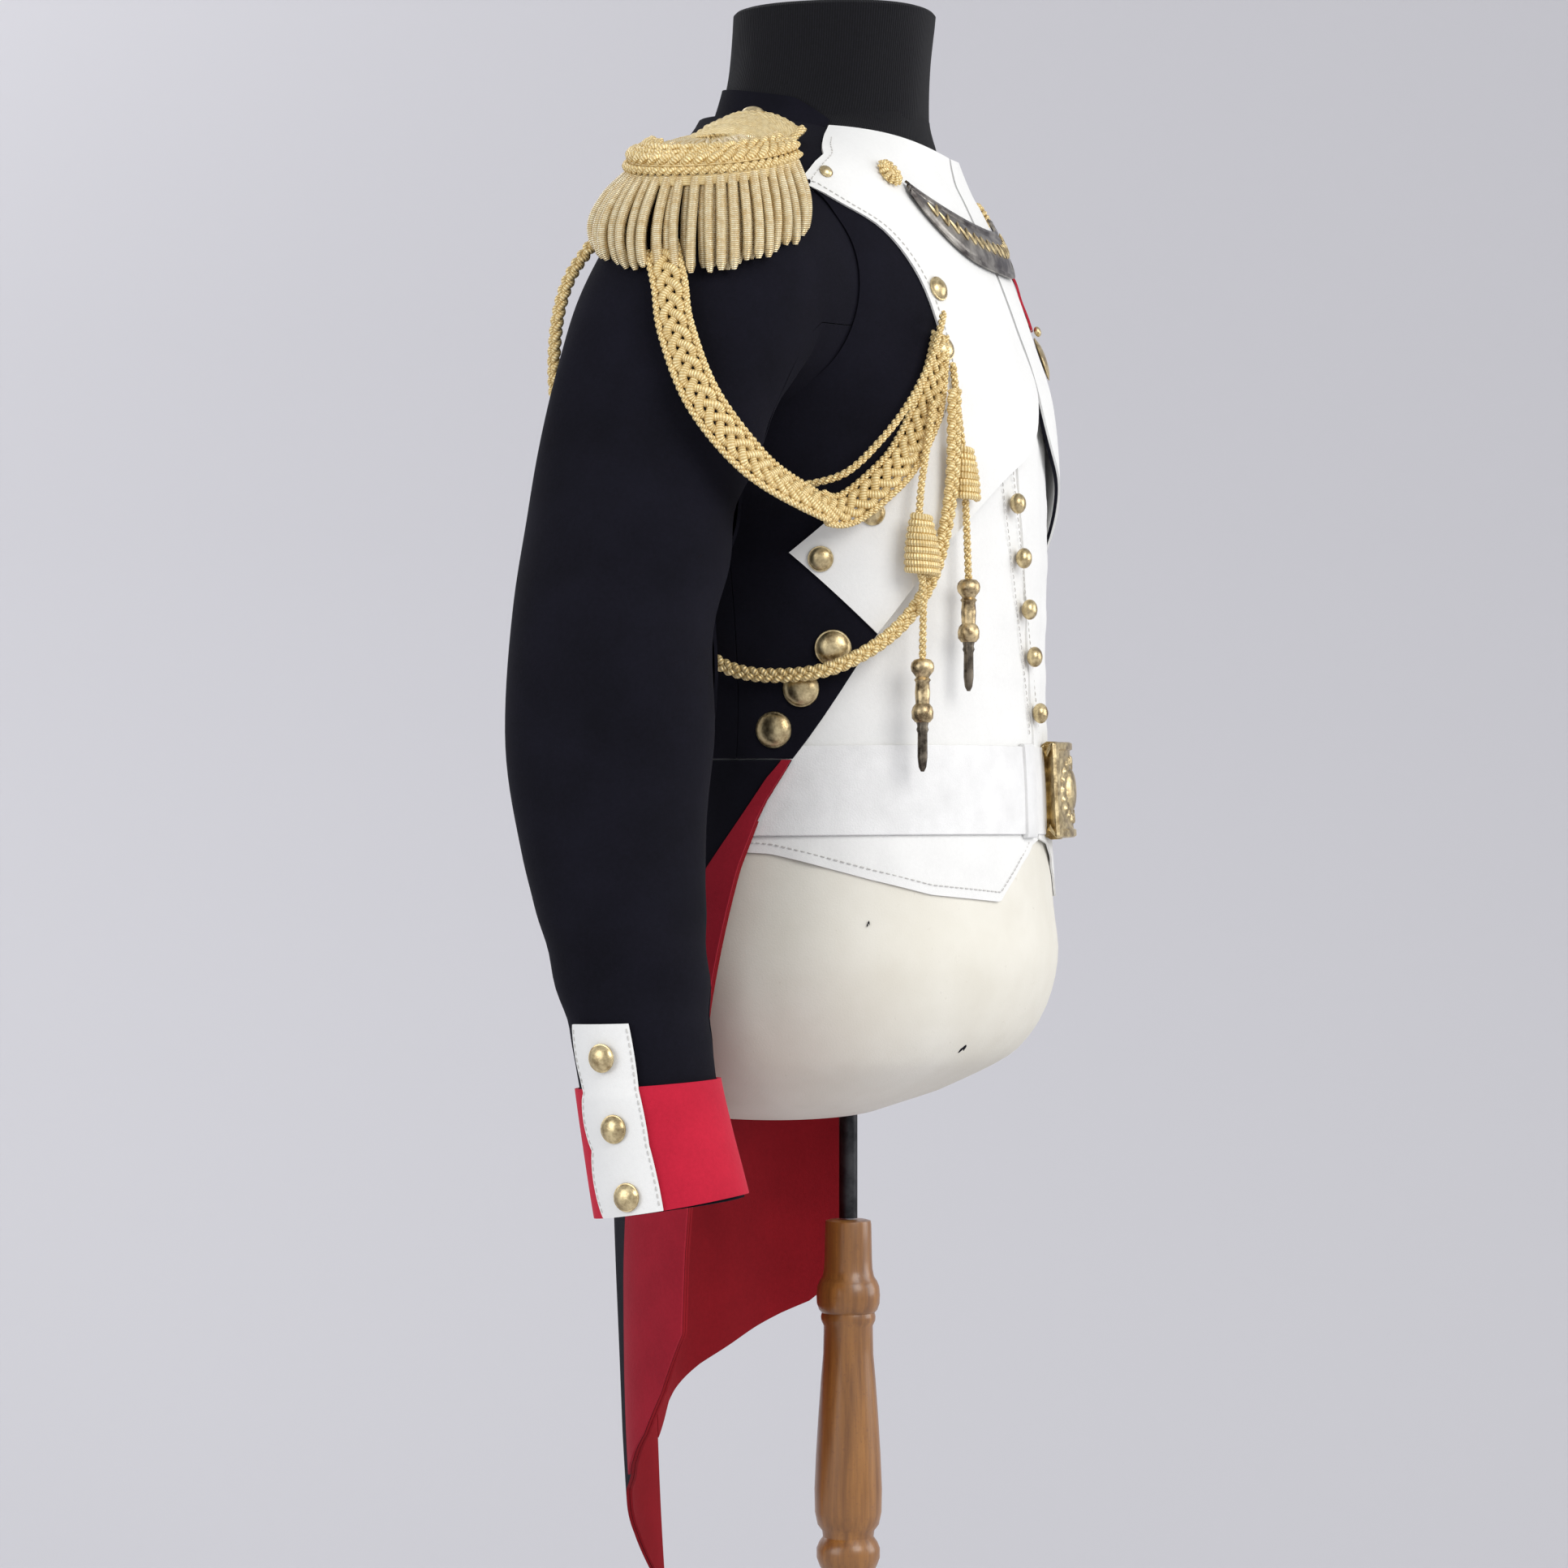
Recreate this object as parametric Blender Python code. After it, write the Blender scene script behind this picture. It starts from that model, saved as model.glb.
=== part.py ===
"""A military dress tunic with cut-away fronts and long tails, worn by a limbless dress form on a turned stand.

The front of the tunic faces -Y, the wearer's right is -X and +Z is up. The origin is on the floor, on the stand's axis.
Cloth is laid on the form by two numbers: an angle round the body, 0 at the centre front and 180 at the centre
back, and a height. A layer is a distance out from the form, so the layers never meet.
"""

from collections import namedtuple
from math import cos, pi, radians, sin

import bmesh
import bpy
import numpy as np
from mathutils import Vector

# ---- driving dimensions, in metres and degrees ----
RIGHT = 1
LEFT = -1
SIDE_NAMES = {RIGHT: "R", LEFT: "L"}

SEAM = 0.0004  # half the parting of two pieces that are sewn edge to edge, measured along the cloth
FORM_EASE = 0.0036  # how far the form lies inside the cloth's own form, above the hips
VEST_LAYER = (-0.0008, 0.0006)
BELT_LAYER = (0.0013, 0.0034)
BUCKLE_LAYER = (0.0042, 0.0165)
LINING_LAYER = (0.0044, 0.0060)
COAT_LAYER = (0.0063, 0.0083)
TRIM_LAYER = (0.0086, 0.0101)
GORGET_LAYER = (0.0110, 0.0124)
SLEEVE_WALL = 0.0020
CUFF_LAYER = (0.0008, 0.0030)
FLAP_LAYER = (0.0040, 0.0054)

SIDE_SEAM = 100.0  # angle of the seam under the arm
NECK_Z = 1.500
NECK_TILT = 0.013  # how far the neckline is lower in front and higher behind
WAIST_Z = 1.100
FORM_BOTTOM_Z = 0.872
NECK_TOP_Z = 1.586
BELT_LOW_Z = 1.0525
BELT_HIGH_Z = 1.1085

ROD_RADIUS = 0.006
ROD_LOW_Z = 0.802
COLUMN_LOW_Z = 0.0303
BASE_RADIUS = 0.170

ROUNDNESS = 0.90  # exponent of the body's sections: 1 is an ellipse, less is squarer

Ring = namedtuple("Ring", "z half_width front widest back")

FORM_RINGS = [
    #    z      half_width front   widest  back
    Ring(0.872, 0.088, -0.014, 0.034, 0.088),
    Ring(0.878, 0.108, -0.032, 0.030, 0.100),
    Ring(0.887, 0.126, -0.058, 0.022, 0.108),
    Ring(0.913, 0.154, -0.106, 0.010, 0.121),
    Ring(0.960, 0.171, -0.130, 0.005, 0.129),
    Ring(1.020, 0.167, -0.129, 0.004, 0.120),
    Ring(1.080, 0.157, -0.126, 0.003, 0.103),
    Ring(1.160, 0.157, -0.123, 0.001, 0.106),
    Ring(1.250, 0.165, -0.1235, 0.002, 0.124),
    Ring(1.330, 0.173, -0.118, 0.007, 0.134),
    Ring(1.375, 0.177, -0.103, 0.013, 0.133),
    Ring(1.414, 0.182, -0.088, 0.020, 0.130),
    Ring(1.440, 0.183, -0.076, 0.025, 0.124),
    Ring(1.457, 0.177, -0.068, 0.028, 0.117),
    Ring(1.467, 0.164, -0.063, 0.029, 0.111),
    Ring(1.478, 0.137, -0.060, 0.028, 0.105),
    Ring(1.489, 0.106, -0.058, 0.025, 0.100),
    Ring(1.500, 0.083, -0.056, 0.021, 0.095),
    Ring(1.513, 0.070, -0.055, 0.017, 0.089),
    Ring(1.545, 0.064, -0.056, 0.012, 0.081),
    Ring(1.586, 0.063, -0.060, 0.010, 0.078),
]

# below the waist the coat hangs clear of the form
SKIRT_RINGS = [
    Ring(0.560, 0.164, -0.120, 0.0, 0.120),
    Ring(0.640, 0.168, -0.125, 0.0, 0.125),
    Ring(0.720, 0.172, -0.128, 0.0, 0.129),
    Ring(0.800, 0.176, -0.130, 0.0, 0.132),
    Ring(0.880, 0.179, -0.131, 0.0, 0.134),
    Ring(0.960, 0.180, -0.132, 0.002, 0.135),
    Ring(1.020, 0.173, -0.130, 0.003, 0.126),
]
COAT_RINGS = SKIRT_RINGS + FORM_RINGS[6:]

Edge = namedtuple("Edge", "z angle")

# the coat's front edge: hooked at the centre down to the chest, then cut away to the hip and down the tail
FRONT_EDGE = [
    Edge(1.486, 0.6),
    Edge(1.440, 0.6),
    Edge(1.375, 0.6),
    Edge(1.318, 0.8),
    Edge(1.305, 3.0),
    Edge(1.288, 14.0),
    Edge(1.258, 34.0),
    Edge(1.226, 48.0),
    Edge(1.175, 65.0),
    Edge(1.133, 76.0),
    Edge(1.105, 84.5),
    Edge(1.072, 91.0),
    Edge(1.040, 95.0),
    Edge(0.960, 101.0),
    Edge(0.900, 105.0),
    Edge(0.810, 110.0),
    Edge(0.745, 112.0),
]

# the outer edge of the lapel, from its peak at the collar down to its lower corner
LAPEL_OUTER = [
    Edge(1.4905, 65.0),
    Edge(1.4780, 61.5),
    Edge(1.4665, 58.5),
    Edge(1.4510, 67.0),
    Edge(1.4400, 57.0),
    Edge(1.4240, 45.0),
    Edge(1.3960, 38.3),
    Edge(1.3600, 38.0),
    Edge(1.3240, 42.0),
    Edge(1.2850, 53.0),
    Edge(1.2700, 62.0),
    Edge(1.2540, 72.5),
    Edge(1.2280, 85.5),
]
LAPEL_INNER_Z = [
    1.4870, 1.4790, 1.4700, 1.4570, 1.4400, 1.4200, 1.3930, 1.3620, 1.3280, 1.2980, 1.2720, 1.2300, 1.1780,
]
# where the same rows of the coat's front reach the shoulder seam, the armhole and the side seam
FRONT_SIDE_Z = [
    1.5010, 1.4900, 1.4780, 1.4650, 1.4500, 1.4300, 1.4050, 1.3720, 1.3420, 1.3115, 1.2850, 1.2550, 1.2180,
]

# the lower edge of the waistcoat front, from the centre to the side
VEST_HEM = [
    Edge(1.050, 0.0),
    Edge(1.046, 6.0),
    Edge(1.011, 23.0),
    Edge(1.0165, 47.0),
    Edge(1.0265, 65.0),
    Edge(1.042, 90.0),
    Edge(1.044, 106.0),
]
VEST_CLOSING = [Edge(1.050, 0.0), Edge(1.130, 1.0), Edge(1.270, 8.0), Edge(1.336, 9.0)]

# the hems of the tails, from the front corner to the centre back; the left one ends higher there
TAIL_HEMS = {
    RIGHT: [
        Edge(0.745, 112.0),
        Edge(0.722, 118.0),
        Edge(0.700, 122.0),
        Edge(0.685, 127.0),
        Edge(0.666, 134.0),
        Edge(0.650, 144.0),
        Edge(0.632, 158.0),
        Edge(0.600, 168.5),
        Edge(0.575, 175.0),
        Edge(0.558, 179.6),
    ],
    LEFT: [
        Edge(0.745, 112.0),
        Edge(0.731, 120.0),
        Edge(0.722, 131.0),
        Edge(0.711, 142.6),
        Edge(0.695, 158.0),
        Edge(0.677, 172.0),
        Edge(0.655, 179.6),
    ],
}
# the back edge of the turnback on the outside of the tail
TURNBACK_BACK = [
    Edge(1.100, 87.5),
    Edge(1.045, 101.0),
    Edge(1.000, 112.0),
    Edge(0.960, 116.0),
    Edge(0.880, 128.0),
    Edge(0.800, 139.0),
    Edge(0.680, 147.0),
]

Armhole = namedtuple("Armhole", "y z half_depth half_height")
ARMHOLE = Armhole(0.026, 1.386, 0.074, 0.078)

# sections of the sleeve: its inner and outer points, then the middle and half of its depth from front to back
Sleeve = namedtuple("Sleeve", "in_x in_z out_x out_z y half_depth")
SLEEVE = [
    Sleeve(0.1860, 1.3130, 0.2050, 1.4545, 0.0300, 0.0720),
    Sleeve(0.1900, 1.3070, 0.2280, 1.4400, 0.0340, 0.0720),
    Sleeve(0.1915, 1.2980, 0.2480, 1.4120, 0.0400, 0.0710),
    Sleeve(0.1905, 1.2870, 0.2620, 1.3720, 0.0476, 0.0700),
    Sleeve(0.1880, 1.2700, 0.2700, 1.3250, 0.0570, 0.0680),
    Sleeve(0.1850, 1.2400, 0.2820, 1.2620, 0.0680, 0.0650),
    Sleeve(0.1930, 1.1900, 0.3020, 1.1960, 0.0740, 0.0630),
    Sleeve(0.2060, 1.1100, 0.3160, 1.1100, 0.0740, 0.0625),
    Sleeve(0.2170, 1.0440, 0.3220, 1.0440, 0.0680, 0.0560),
    Sleeve(0.2250, 1.0000, 0.3245, 1.0000, 0.0600, 0.0495),
    Sleeve(0.2330, 0.9460, 0.3260, 0.9460, 0.0490, 0.0425),
    Sleeve(0.2390, 0.9050, 0.3265, 0.9050, 0.0418, 0.0402),
    Sleeve(0.2420, 0.8700, 0.3275, 0.8700, 0.0346, 0.0399),
    Sleeve(0.2430, 0.8290, 0.3300, 0.8290, 0.0255, 0.0430),
]
LEFT_SWING = (0.036, 0.118)  # how far the left wrist hangs nearer the body, and behind the right one's place
CUFF_TILT = 0.0065  # how far the cuff's front rises
CUFF_ROW = 12.0  # the place along the sleeve, counted in sections, where the cuff begins
FLAP_ROW = 11.05
FLAP_TURNS = (-12.5, 37.0)
END_ROW = 14.0
SLEEVE_SEAMS = (105.0, 255.0)  # round the sleeve, 0 is outwards and 90 is behind

NAVY = (0.010, 0.010, 0.024)
SCARLET = (0.42, 0.012, 0.022)
WHITE = (0.80, 0.80, 0.78)
CREAM = (0.66, 0.62, 0.52)
BLACK = (0.012, 0.012, 0.016)
GOLD = (0.72, 0.47, 0.14)
SILVER = (0.42, 0.40, 0.37)
WOOD = (0.36, 0.15, 0.045)
IRON = (0.05, 0.05, 0.05)


# ---- the shape of the body and the garment ----
def between(table, key, value):
    """The row of a table at a value of its key column, on a smooth curve through the rows."""
    rows = sorted(table, key=lambda row: getattr(row, key))
    keys = [getattr(row, key) for row in rows]
    value = min(max(value, keys[0]), keys[-1])
    i = min(max(np.searchsorted(keys, value) - 1, 0), len(rows) - 2)
    wide = keys[i + 1] - keys[i]
    t = (value - keys[i]) / wide
    out = []
    for column in range(len(rows[0])):
        here, there = rows[i][column], rows[i + 1][column]
        slopes = []
        for k in (i, i + 1):
            low, high = max(k - 1, 0), min(k + 1, len(rows) - 1)
            slopes.append((rows[high][column] - rows[low][column]) / (keys[high] - keys[low]) * wide)
        out.append(
            here * (1 + 2 * t) * (1 - t) ** 2
            + slopes[0] * t * (1 - t) ** 2
            + there * t * t * (3 - 2 * t)
            + slopes[1] * t * t * (t - 1)
        )
    return type(rows[0])(*out)


def edge_angle(table, z):
    """The angle of an edge at a height, on straight runs between the table's rows."""
    rows = sorted(table)
    return float(np.interp(z, [row.z for row in rows], [row.angle for row in rows]))


def edge_height(table, angle):
    """The height of an edge at an angle, on straight runs between the table's rows."""
    rows = sorted(table, key=lambda row: row.angle)
    return float(np.interp(angle, [row.angle for row in rows], [row.z for row in rows]))


def signed_power(value, power):
    return abs(value) ** power if value >= 0 else -(abs(value) ** power)


def skin(rings, angle, z):
    """A point of the right half of a body, on its surface."""
    ring = between(rings, "z", z)
    turn = radians(angle)
    across = signed_power(sin(turn), ROUNDNESS)
    along = signed_power(cos(turn), ROUNDNESS)
    reach = ring.widest - ring.front if along > 0 else ring.back - ring.widest
    return Vector((-ring.half_width * across, ring.widest - reach * along, z))


def lay(rings, angle, z, off, side=RIGHT):
    """A point at a distance out from a body's surface."""
    point = skin(rings, angle, z)
    round_it = skin(rings, angle + 1.5, z) - skin(rings, angle - 1.5, z)
    up = skin(rings, angle, z + 0.003) - skin(rings, angle, z - 0.003)
    out = up.cross(round_it).normalized()
    if out.dot(Vector((point.x, point.y - 0.02, 0.0))) < 0 and abs(out.z) < 0.9:
        out = -out
    if out.z < 0 and z > 1.44:
        out = -out
    point += out * off
    return Vector((point.x * side, point.y, point.z))


def coat(angle, z, off, side=RIGHT):
    return lay(COAT_RINGS, angle, z, off, side)


def body_angle(y, z):
    """The angle at which the coat's surface has a depth y at a height z."""
    low, high = 5.0, 175.0
    for _ in range(30):
        middle = (low + high) / 2
        if skin(COAT_RINGS, middle, z).y < y:
            low = middle
        else:
            high = middle
    return low


def armhole(turn, grow=0.0):
    """The angle and height of the armhole: 0 is its top, 90 its back and 270 its front."""
    y = ARMHOLE.y + (ARMHOLE.half_depth + grow) * sin(radians(turn))
    z = ARMHOLE.z + (ARMHOLE.half_height + grow) * cos(radians(turn))
    return body_angle(y, z), z


def armhole_edge(z, front):
    """The angle of the front or back half of the armhole at a height."""
    high = ARMHOLE.half_height + SEAM
    share = min(1.0, abs(z - ARMHOLE.z) / high)
    reach = (ARMHOLE.half_depth + SEAM) * (1 - share**2) ** 0.5
    y = ARMHOLE.y - reach if front else ARMHOLE.y + reach
    return body_angle(y, z)


def spline(points, count):
    """Points on a smooth curve through a route's own points, evenly spread along it."""
    points = [Vector(p) for p in points]
    ends = [points[0] * 2 - points[1]] + points + [points[-1] * 2 - points[-2]]
    fine = []
    for a, b, c, d in zip(ends, ends[1:], ends[2:], ends[3:]):
        for step in range(12):
            t = step / 12
            fine.append(
                0.5 * (2 * b + (c - a) * t + (2 * a - 5 * b + 4 * c - d) * t**2 + (3 * b - a - 3 * c + d) * t**3)
            )
    fine.append(points[-1])
    gone = np.concatenate([[0], np.cumsum([(q - p).length for p, q in zip(fine, fine[1:])])])
    wanted = np.linspace(0, gone[-1], count)
    return [Vector([np.interp(w, gone, [p[axis] for p in fine]) for axis in range(3)]) for w in wanted]


# ---- making objects ----
def material(name, colour, roughness=0.8, metallic=0.0):
    made = bpy.data.materials.get(name)
    if made is None:
        made = bpy.data.materials.new(name)
        made.use_nodes = True
        shader = made.node_tree.nodes["Principled BSDF"]
        shader.inputs["Base Color"].default_value = (*colour, 1.0)
        shader.inputs["Roughness"].default_value = roughness
        shader.inputs["Metallic"].default_value = metallic
    return made


def finish_mesh(name, bm, finish):
    """Turn a closed bmesh into a named object with its faces pointing out."""
    bmesh.ops.recalc_face_normals(bm, faces=bm.faces)
    if bm.calc_volume(signed=True) < 0:
        bmesh.ops.reverse_faces(bm, faces=bm.faces)
    mesh = bpy.data.meshes.new(name)
    bm.to_mesh(mesh)
    bm.free()
    mesh.shade_smooth()
    mesh.set_sharp_from_angle(angle=radians(40))
    mesh.materials.append(finish)
    made = bpy.data.objects.new(name, mesh)
    bpy.context.collection.objects.link(made)
    return made


def shell(name, outer, inner, finish, tube=False):
    """A wall between two grids of points; a tube's columns close into a ring."""
    bm = bmesh.new()
    layers = [[[bm.verts.new(p) for p in row] for row in grid] for grid in (outer, inner)]
    rows, columns = len(outer), len(outer[0])
    for grid in layers:
        for i in range(rows - 1):
            for j in range(columns if tube else columns - 1):
                k = (j + 1) % columns
                bm.faces.new((grid[i][j], grid[i][k], grid[i + 1][k], grid[i + 1][j]))
    out, back = layers
    for i in (0, rows - 1):
        for j in range(columns if tube else columns - 1):
            k = (j + 1) % columns
            bm.faces.new((out[i][j], out[i][k], back[i][k], back[i][j]))
    if not tube:
        for j in (0, columns - 1):
            for i in range(rows - 1):
                bm.faces.new((out[i][j], out[i + 1][j], back[i + 1][j], back[i][j]))
    return finish_mesh(name, bm, finish)


def panel(name, cut, layer, side, finish, place=coat):
    """A cloth panel from its cut, rows of angles and heights, laid in a layer."""
    outer = [[place(a, z, layer[1], side) for a, z in row] for row in cut]
    inner = [[place(a, z, layer[0], side) for a, z in row] for row in cut]
    return shell(name, outer, inner, finish)


def lathe(name, profile, sides, finish, centre=(0.0, 0.0)):
    """A turned solid from radii and heights, listed from its top down."""
    bm = bmesh.new()
    rings = []
    for radius, z in profile:
        turns = [2 * pi * k / sides for k in range(sides)]
        rings.append([bm.verts.new((centre[0] + radius * cos(t), centre[1] + radius * sin(t), z)) for t in turns])
    for upper, lower in zip(rings, rings[1:]):
        for k in range(sides):
            bm.faces.new((upper[k], upper[(k + 1) % sides], lower[(k + 1) % sides], lower[k]))
    bm.faces.new(rings[0])
    bm.faces.new(rings[-1])
    return finish_mesh(name, bm, finish)


def sweep(name, line, half_width, half_thick, finish, flat_to=None, sides=8):
    """A band or rod along a line, flat towards flat_to, with half sizes that may be functions of the way along."""
    bm = bmesh.new()
    rings = []
    for i, point in enumerate(line):
        ahead = (line[min(i + 1, len(line) - 1)] - line[max(i - 1, 0)]).normalized()
        out = flat_to(point) if flat_to else Vector((0.3, -1.0, 0.2))
        out = (out - ahead * out.dot(ahead)).normalized()
        across = ahead.cross(out)
        share = i / (len(line) - 1)
        wide = half_width(share) if callable(half_width) else half_width
        thick = half_thick(share) if callable(half_thick) else half_thick
        ring = []
        for k in range(sides):
            turn = 2 * pi * (k + 0.5) / sides
            ring.append(bm.verts.new(point + across * wide * cos(turn) + out * thick * sin(turn)))
        rings.append(ring)
    for a, b in zip(rings, rings[1:]):
        for k in range(sides):
            bm.faces.new((a[k], a[(k + 1) % sides], b[(k + 1) % sides], b[k]))
    bm.faces.new(rings[0])
    bm.faces.new(rings[-1])
    return finish_mesh(name, bm, finish)


def cord(name, route, diameter, count, finish):
    """A round cord as a bevelled curve through its route."""
    data = bpy.data.curves.new(name, "CURVE")
    data.dimensions = "3D"
    data.bevel_depth = diameter / 2
    data.bevel_resolution = 2
    data.use_fill_caps = True
    line = data.splines.new("POLY")
    points = spline(route, count)
    line.points.add(len(points) - 1)
    for made, point in zip(line.points, points):
        made.co = (*point, 1.0)
    data.materials.append(finish)
    made = bpy.data.objects.new(name, data)
    bpy.context.collection.objects.link(made)
    return made


# ---- the dress form and its stand ----
def dress_form():
    cream = material("linen_form", CREAM, 0.75)
    split = NECK_Z + 0.010
    heights = [0.872, 0.879, 0.892, 0.914, 0.945, 0.985, 1.035, 1.085, 1.150, 1.220, 1.290, 1.350, 1.400]
    heights += [1.437, 1.457, 1.470, 1.484, split]
    columns = 26
    for name, levels, finish in (
        ("form_torso", heights, cream),
        ("form_neck", [split + 0.0012, 1.528, 1.555, NECK_TOP_Z], material("neck_cover", BLACK, 0.9)),
    ):
        bm = bmesh.new()
        rings = []
        for z in levels:
            ring = []
            for k in range(columns):
                ease = FORM_EASE * min(1.0, max(0.0, (z - 0.98) / 0.06))
                point = lay(FORM_RINGS, 360.0 * (k + 0.5) / columns, z, -ease)
                ring.append(bm.verts.new(point))
            rings.append(ring)
        for a, b in zip(rings, rings[1:]):
            for k in range(columns):
                bm.faces.new((a[k], a[(k + 1) % columns], b[(k + 1) % columns], b[k]))
        bm.faces.new(rings[0])
        bm.faces.new(rings[-1])
        finish_mesh(name, bm, finish)


def stand():
    wood = material("turned_wood", WOOD, 0.35)
    rod = [(ROD_RADIUS, FORM_BOTTOM_Z - 0.0003), (ROD_RADIUS, ROD_LOW_Z + 0.0003)]
    lathe("stand_rod", rod, 16, material("rod_iron", IRON, 0.4, 1.0))
    column = [
        (0.0125, 0.8020), (0.0150, 0.7990), (0.0155, 0.7740), (0.0165, 0.7600), (0.0200, 0.7530), (0.0205, 0.7400),
        (0.0175, 0.7320), (0.0160, 0.7240), (0.0190, 0.6900), (0.0215, 0.6450), (0.0222, 0.6200), (0.0195, 0.6010),
        (0.0165, 0.5960), (0.0205, 0.5890), (0.0205, 0.5820), (0.0170, 0.5740), (0.0185, 0.5500), (0.0215, 0.4600),
        (0.0235, 0.3600), (0.0225, 0.2800), (0.0190, 0.2300), (0.0175, 0.2150), (0.0230, 0.2050), (0.0240, 0.1900),
        (0.0190, 0.1780), (0.0220, 0.1300), (0.0320, 0.0800), (0.0400, 0.0500), (0.0420, COLUMN_LOW_Z),
    ]
    lathe("stand_column", column, 12, wood)
    base = [(0.040, 0.0300), (0.095, 0.0270), (0.135, 0.0240), (0.142, 0.0180), (0.158, 0.0170), (0.168, 0.0130)]
    base += [(BASE_RADIUS, 0.0060), (BASE_RADIUS - 0.003, 0.0)]
    lathe("stand_base", base, 22, wood)


# ---- the body of the coat ----
def neckline(angle):
    return NECK_Z - NECK_TILT * cos(radians(angle))


def front_cut():
    """Rows of the coat's front; the first seven points of the upper rows are the lapel's own."""
    cut = []
    for inner_z, outer, side_z in zip(LAPEL_INNER_Z, LAPEL_OUTER, FRONT_SIDE_Z):
        first = edge_angle(FRONT_EDGE, inner_z)
        row = []
        for k in range(7):
            share = k / 6
            row.append((first + (outer.angle - first) * share, inner_z + (outer.z - inner_z) * share))
        on_armhole = abs(side_z - ARMHOLE.z) < ARMHOLE.half_height + SEAM
        last = armhole_edge(side_z, True) if on_armhole else SIDE_SEAM - 0.15
        if side_z > 1.46:
            last = 95.0 - 0.15
        for k in range(1, 5):
            share = k / 4
            row.append((outer.angle + (last - outer.angle) * share, outer.z + (side_z - outer.z) * share))
        cut.append(row)
    upper = cut[-1]
    for share in (0.35, 0.70, 1.0):
        low = WAIST_Z + SEAM
        first = edge_angle(FRONT_EDGE, upper[0][1] + (low - upper[0][1]) * share)
        row = []
        for k, (angle, z) in enumerate(upper):
            along = (angle - upper[0][0]) / (upper[-1][0] - upper[0][0])
            row.append((first + (SIDE_SEAM - 0.15 - first) * along, z + (low - z) * share))
        cut.append(row)
    return cut


def front_panel(side):
    """From the front edge to the side seam, with the neckline above and the armhole behind."""
    navy = material("navy_cloth", NAVY, 0.9)
    panel(f"coat_front_{SIDE_NAMES[side]}", front_cut(), COAT_LAYER, side, navy)


def back_panel(side):
    """From the side seam and armhole to the centre back."""
    rows = [(1.5010, 1.5128), (1.4930, 1.5020), (1.4840, 1.4900), (1.4750, 1.4780), (1.4660, 1.4660)]
    rows += [(z, z) for z in (1.452, 1.432, 1.405, 1.372, 1.342, 1.3115)]
    rows += [(z, z) for z in (1.275, 1.235, 1.190, 1.145, WAIST_Z + SEAM)]
    cut = []
    for i, (front_z, back_z) in enumerate(rows):
        on_armhole = abs(front_z - ARMHOLE.z) < ARMHOLE.half_height + SEAM
        first = armhole_edge(front_z, False) if on_armhole else SIDE_SEAM - 5 * max(0, 5 - i) / 5 + 0.15
        row = []
        for k in range(8):
            angle = first + (179.85 - first) * k / 7
            z = front_z + (back_z - front_z) * -cos(radians(angle)) if i < 5 else front_z
            row.append((angle, neckline(angle) if i == 0 else z))
        cut.append(row)
    panel(f"coat_back_{SIDE_NAMES[side]}", cut, COAT_LAYER, side, material("navy_cloth", NAVY, 0.9))


# how far down each tail its rows lie, as shares of its length
TAIL_LEVELS = {
    RIGHT: [0.0, 0.05, 0.11, 0.19, 0.30, 0.43, 0.57, 0.72, 0.86, 1.0],
    LEFT: [0.0, 0.06, 0.13, 0.22, 0.33, 0.46, 0.60, 0.74, 0.87, 1.0],
}


def tail_cut(side):
    """Rows of the tail from the waist down; the first five points of each are the turnback's own."""
    cut = []
    hem = TAIL_HEMS[side]
    corner = hem[0]
    fold = TURNBACK_BACK[-1].angle
    fold_low = Edge(edge_height(hem, fold), fold)
    for share in TAIL_LEVELS[side]:
        row = []
        top = WAIST_Z - SEAM
        z = top + (corner.z - top) * share
        first = edge_angle(FRONT_EDGE, z)
        fold_angle = edge_angle(TURNBACK_BACK, top + (fold_low.z - top) * share)
        for k in range(5):
            angle = first + (fold_angle - first) * k / 4
            low = edge_height(hem, corner.angle + (fold_low.angle - corner.angle) * k / 4)
            row.append((angle, top + (low - top) * share))
        for k in range(1, 10):
            angle = fold_angle + (179.4 - fold_angle) * k / 9
            low = edge_height(hem, fold_low.angle + (179.4 - fold_low.angle) * k / 9)
            row.append((angle, top + (low - top) * share))
        cut.append(row)
    return cut


def skirt(side):
    name = SIDE_NAMES[side]
    scarlet = material("scarlet_cloth", SCARLET, 0.85)
    cut = tail_cut(side)
    panel(f"skirt_{name}", cut, COAT_LAYER, side, material("navy_cloth", NAVY, 0.9))
    panel(f"skirt_lining_{name}", cut[2:], LINING_LAYER, side, scarlet)
    panel(f"turnback_{name}", [row[:5] for row in cut], TRIM_LAYER, side, scarlet)


def lapel(side):
    """A white band along the front edge, wide at the shoulder, narrow at the chest and wide again at its corner."""
    cut = [row[:7] for row in front_cut()[: len(LAPEL_OUTER)]]
    panel(f"lapel_{SIDE_NAMES[side]}", cut, TRIM_LAYER, side, material("white_cloth", WHITE, 0.8))


def collar():
    """A low standing collar from one lapel's peak round the back to the other's."""
    outer, inner = [], []
    for share in (0.0, 0.5, 1.0):
        rows = ([], [])
        for k in range(21):
            angle = 71.0 + (360 - 2 * 71.0) * k / 20
            foot = neckline(angle) + 0.0061
            top = foot + 0.038 * min(1.0, 0.30 + (180 - abs(180 - angle) - 71.0) / 30)
            for row, off in zip(rows, (COAT_LAYER[1] + 0.001, COAT_LAYER[0])):
                point = skin(FORM_RINGS, angle, foot + (top - foot) * share)
                flat = Vector((point.x, point.y - 0.018, 0)).normalized()
                row.append(point + flat * off)
        outer.append(rows[0])
        inner.append(rows[1])
    shell("collar", outer, inner, material("navy_cloth", NAVY, 0.9))


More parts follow.
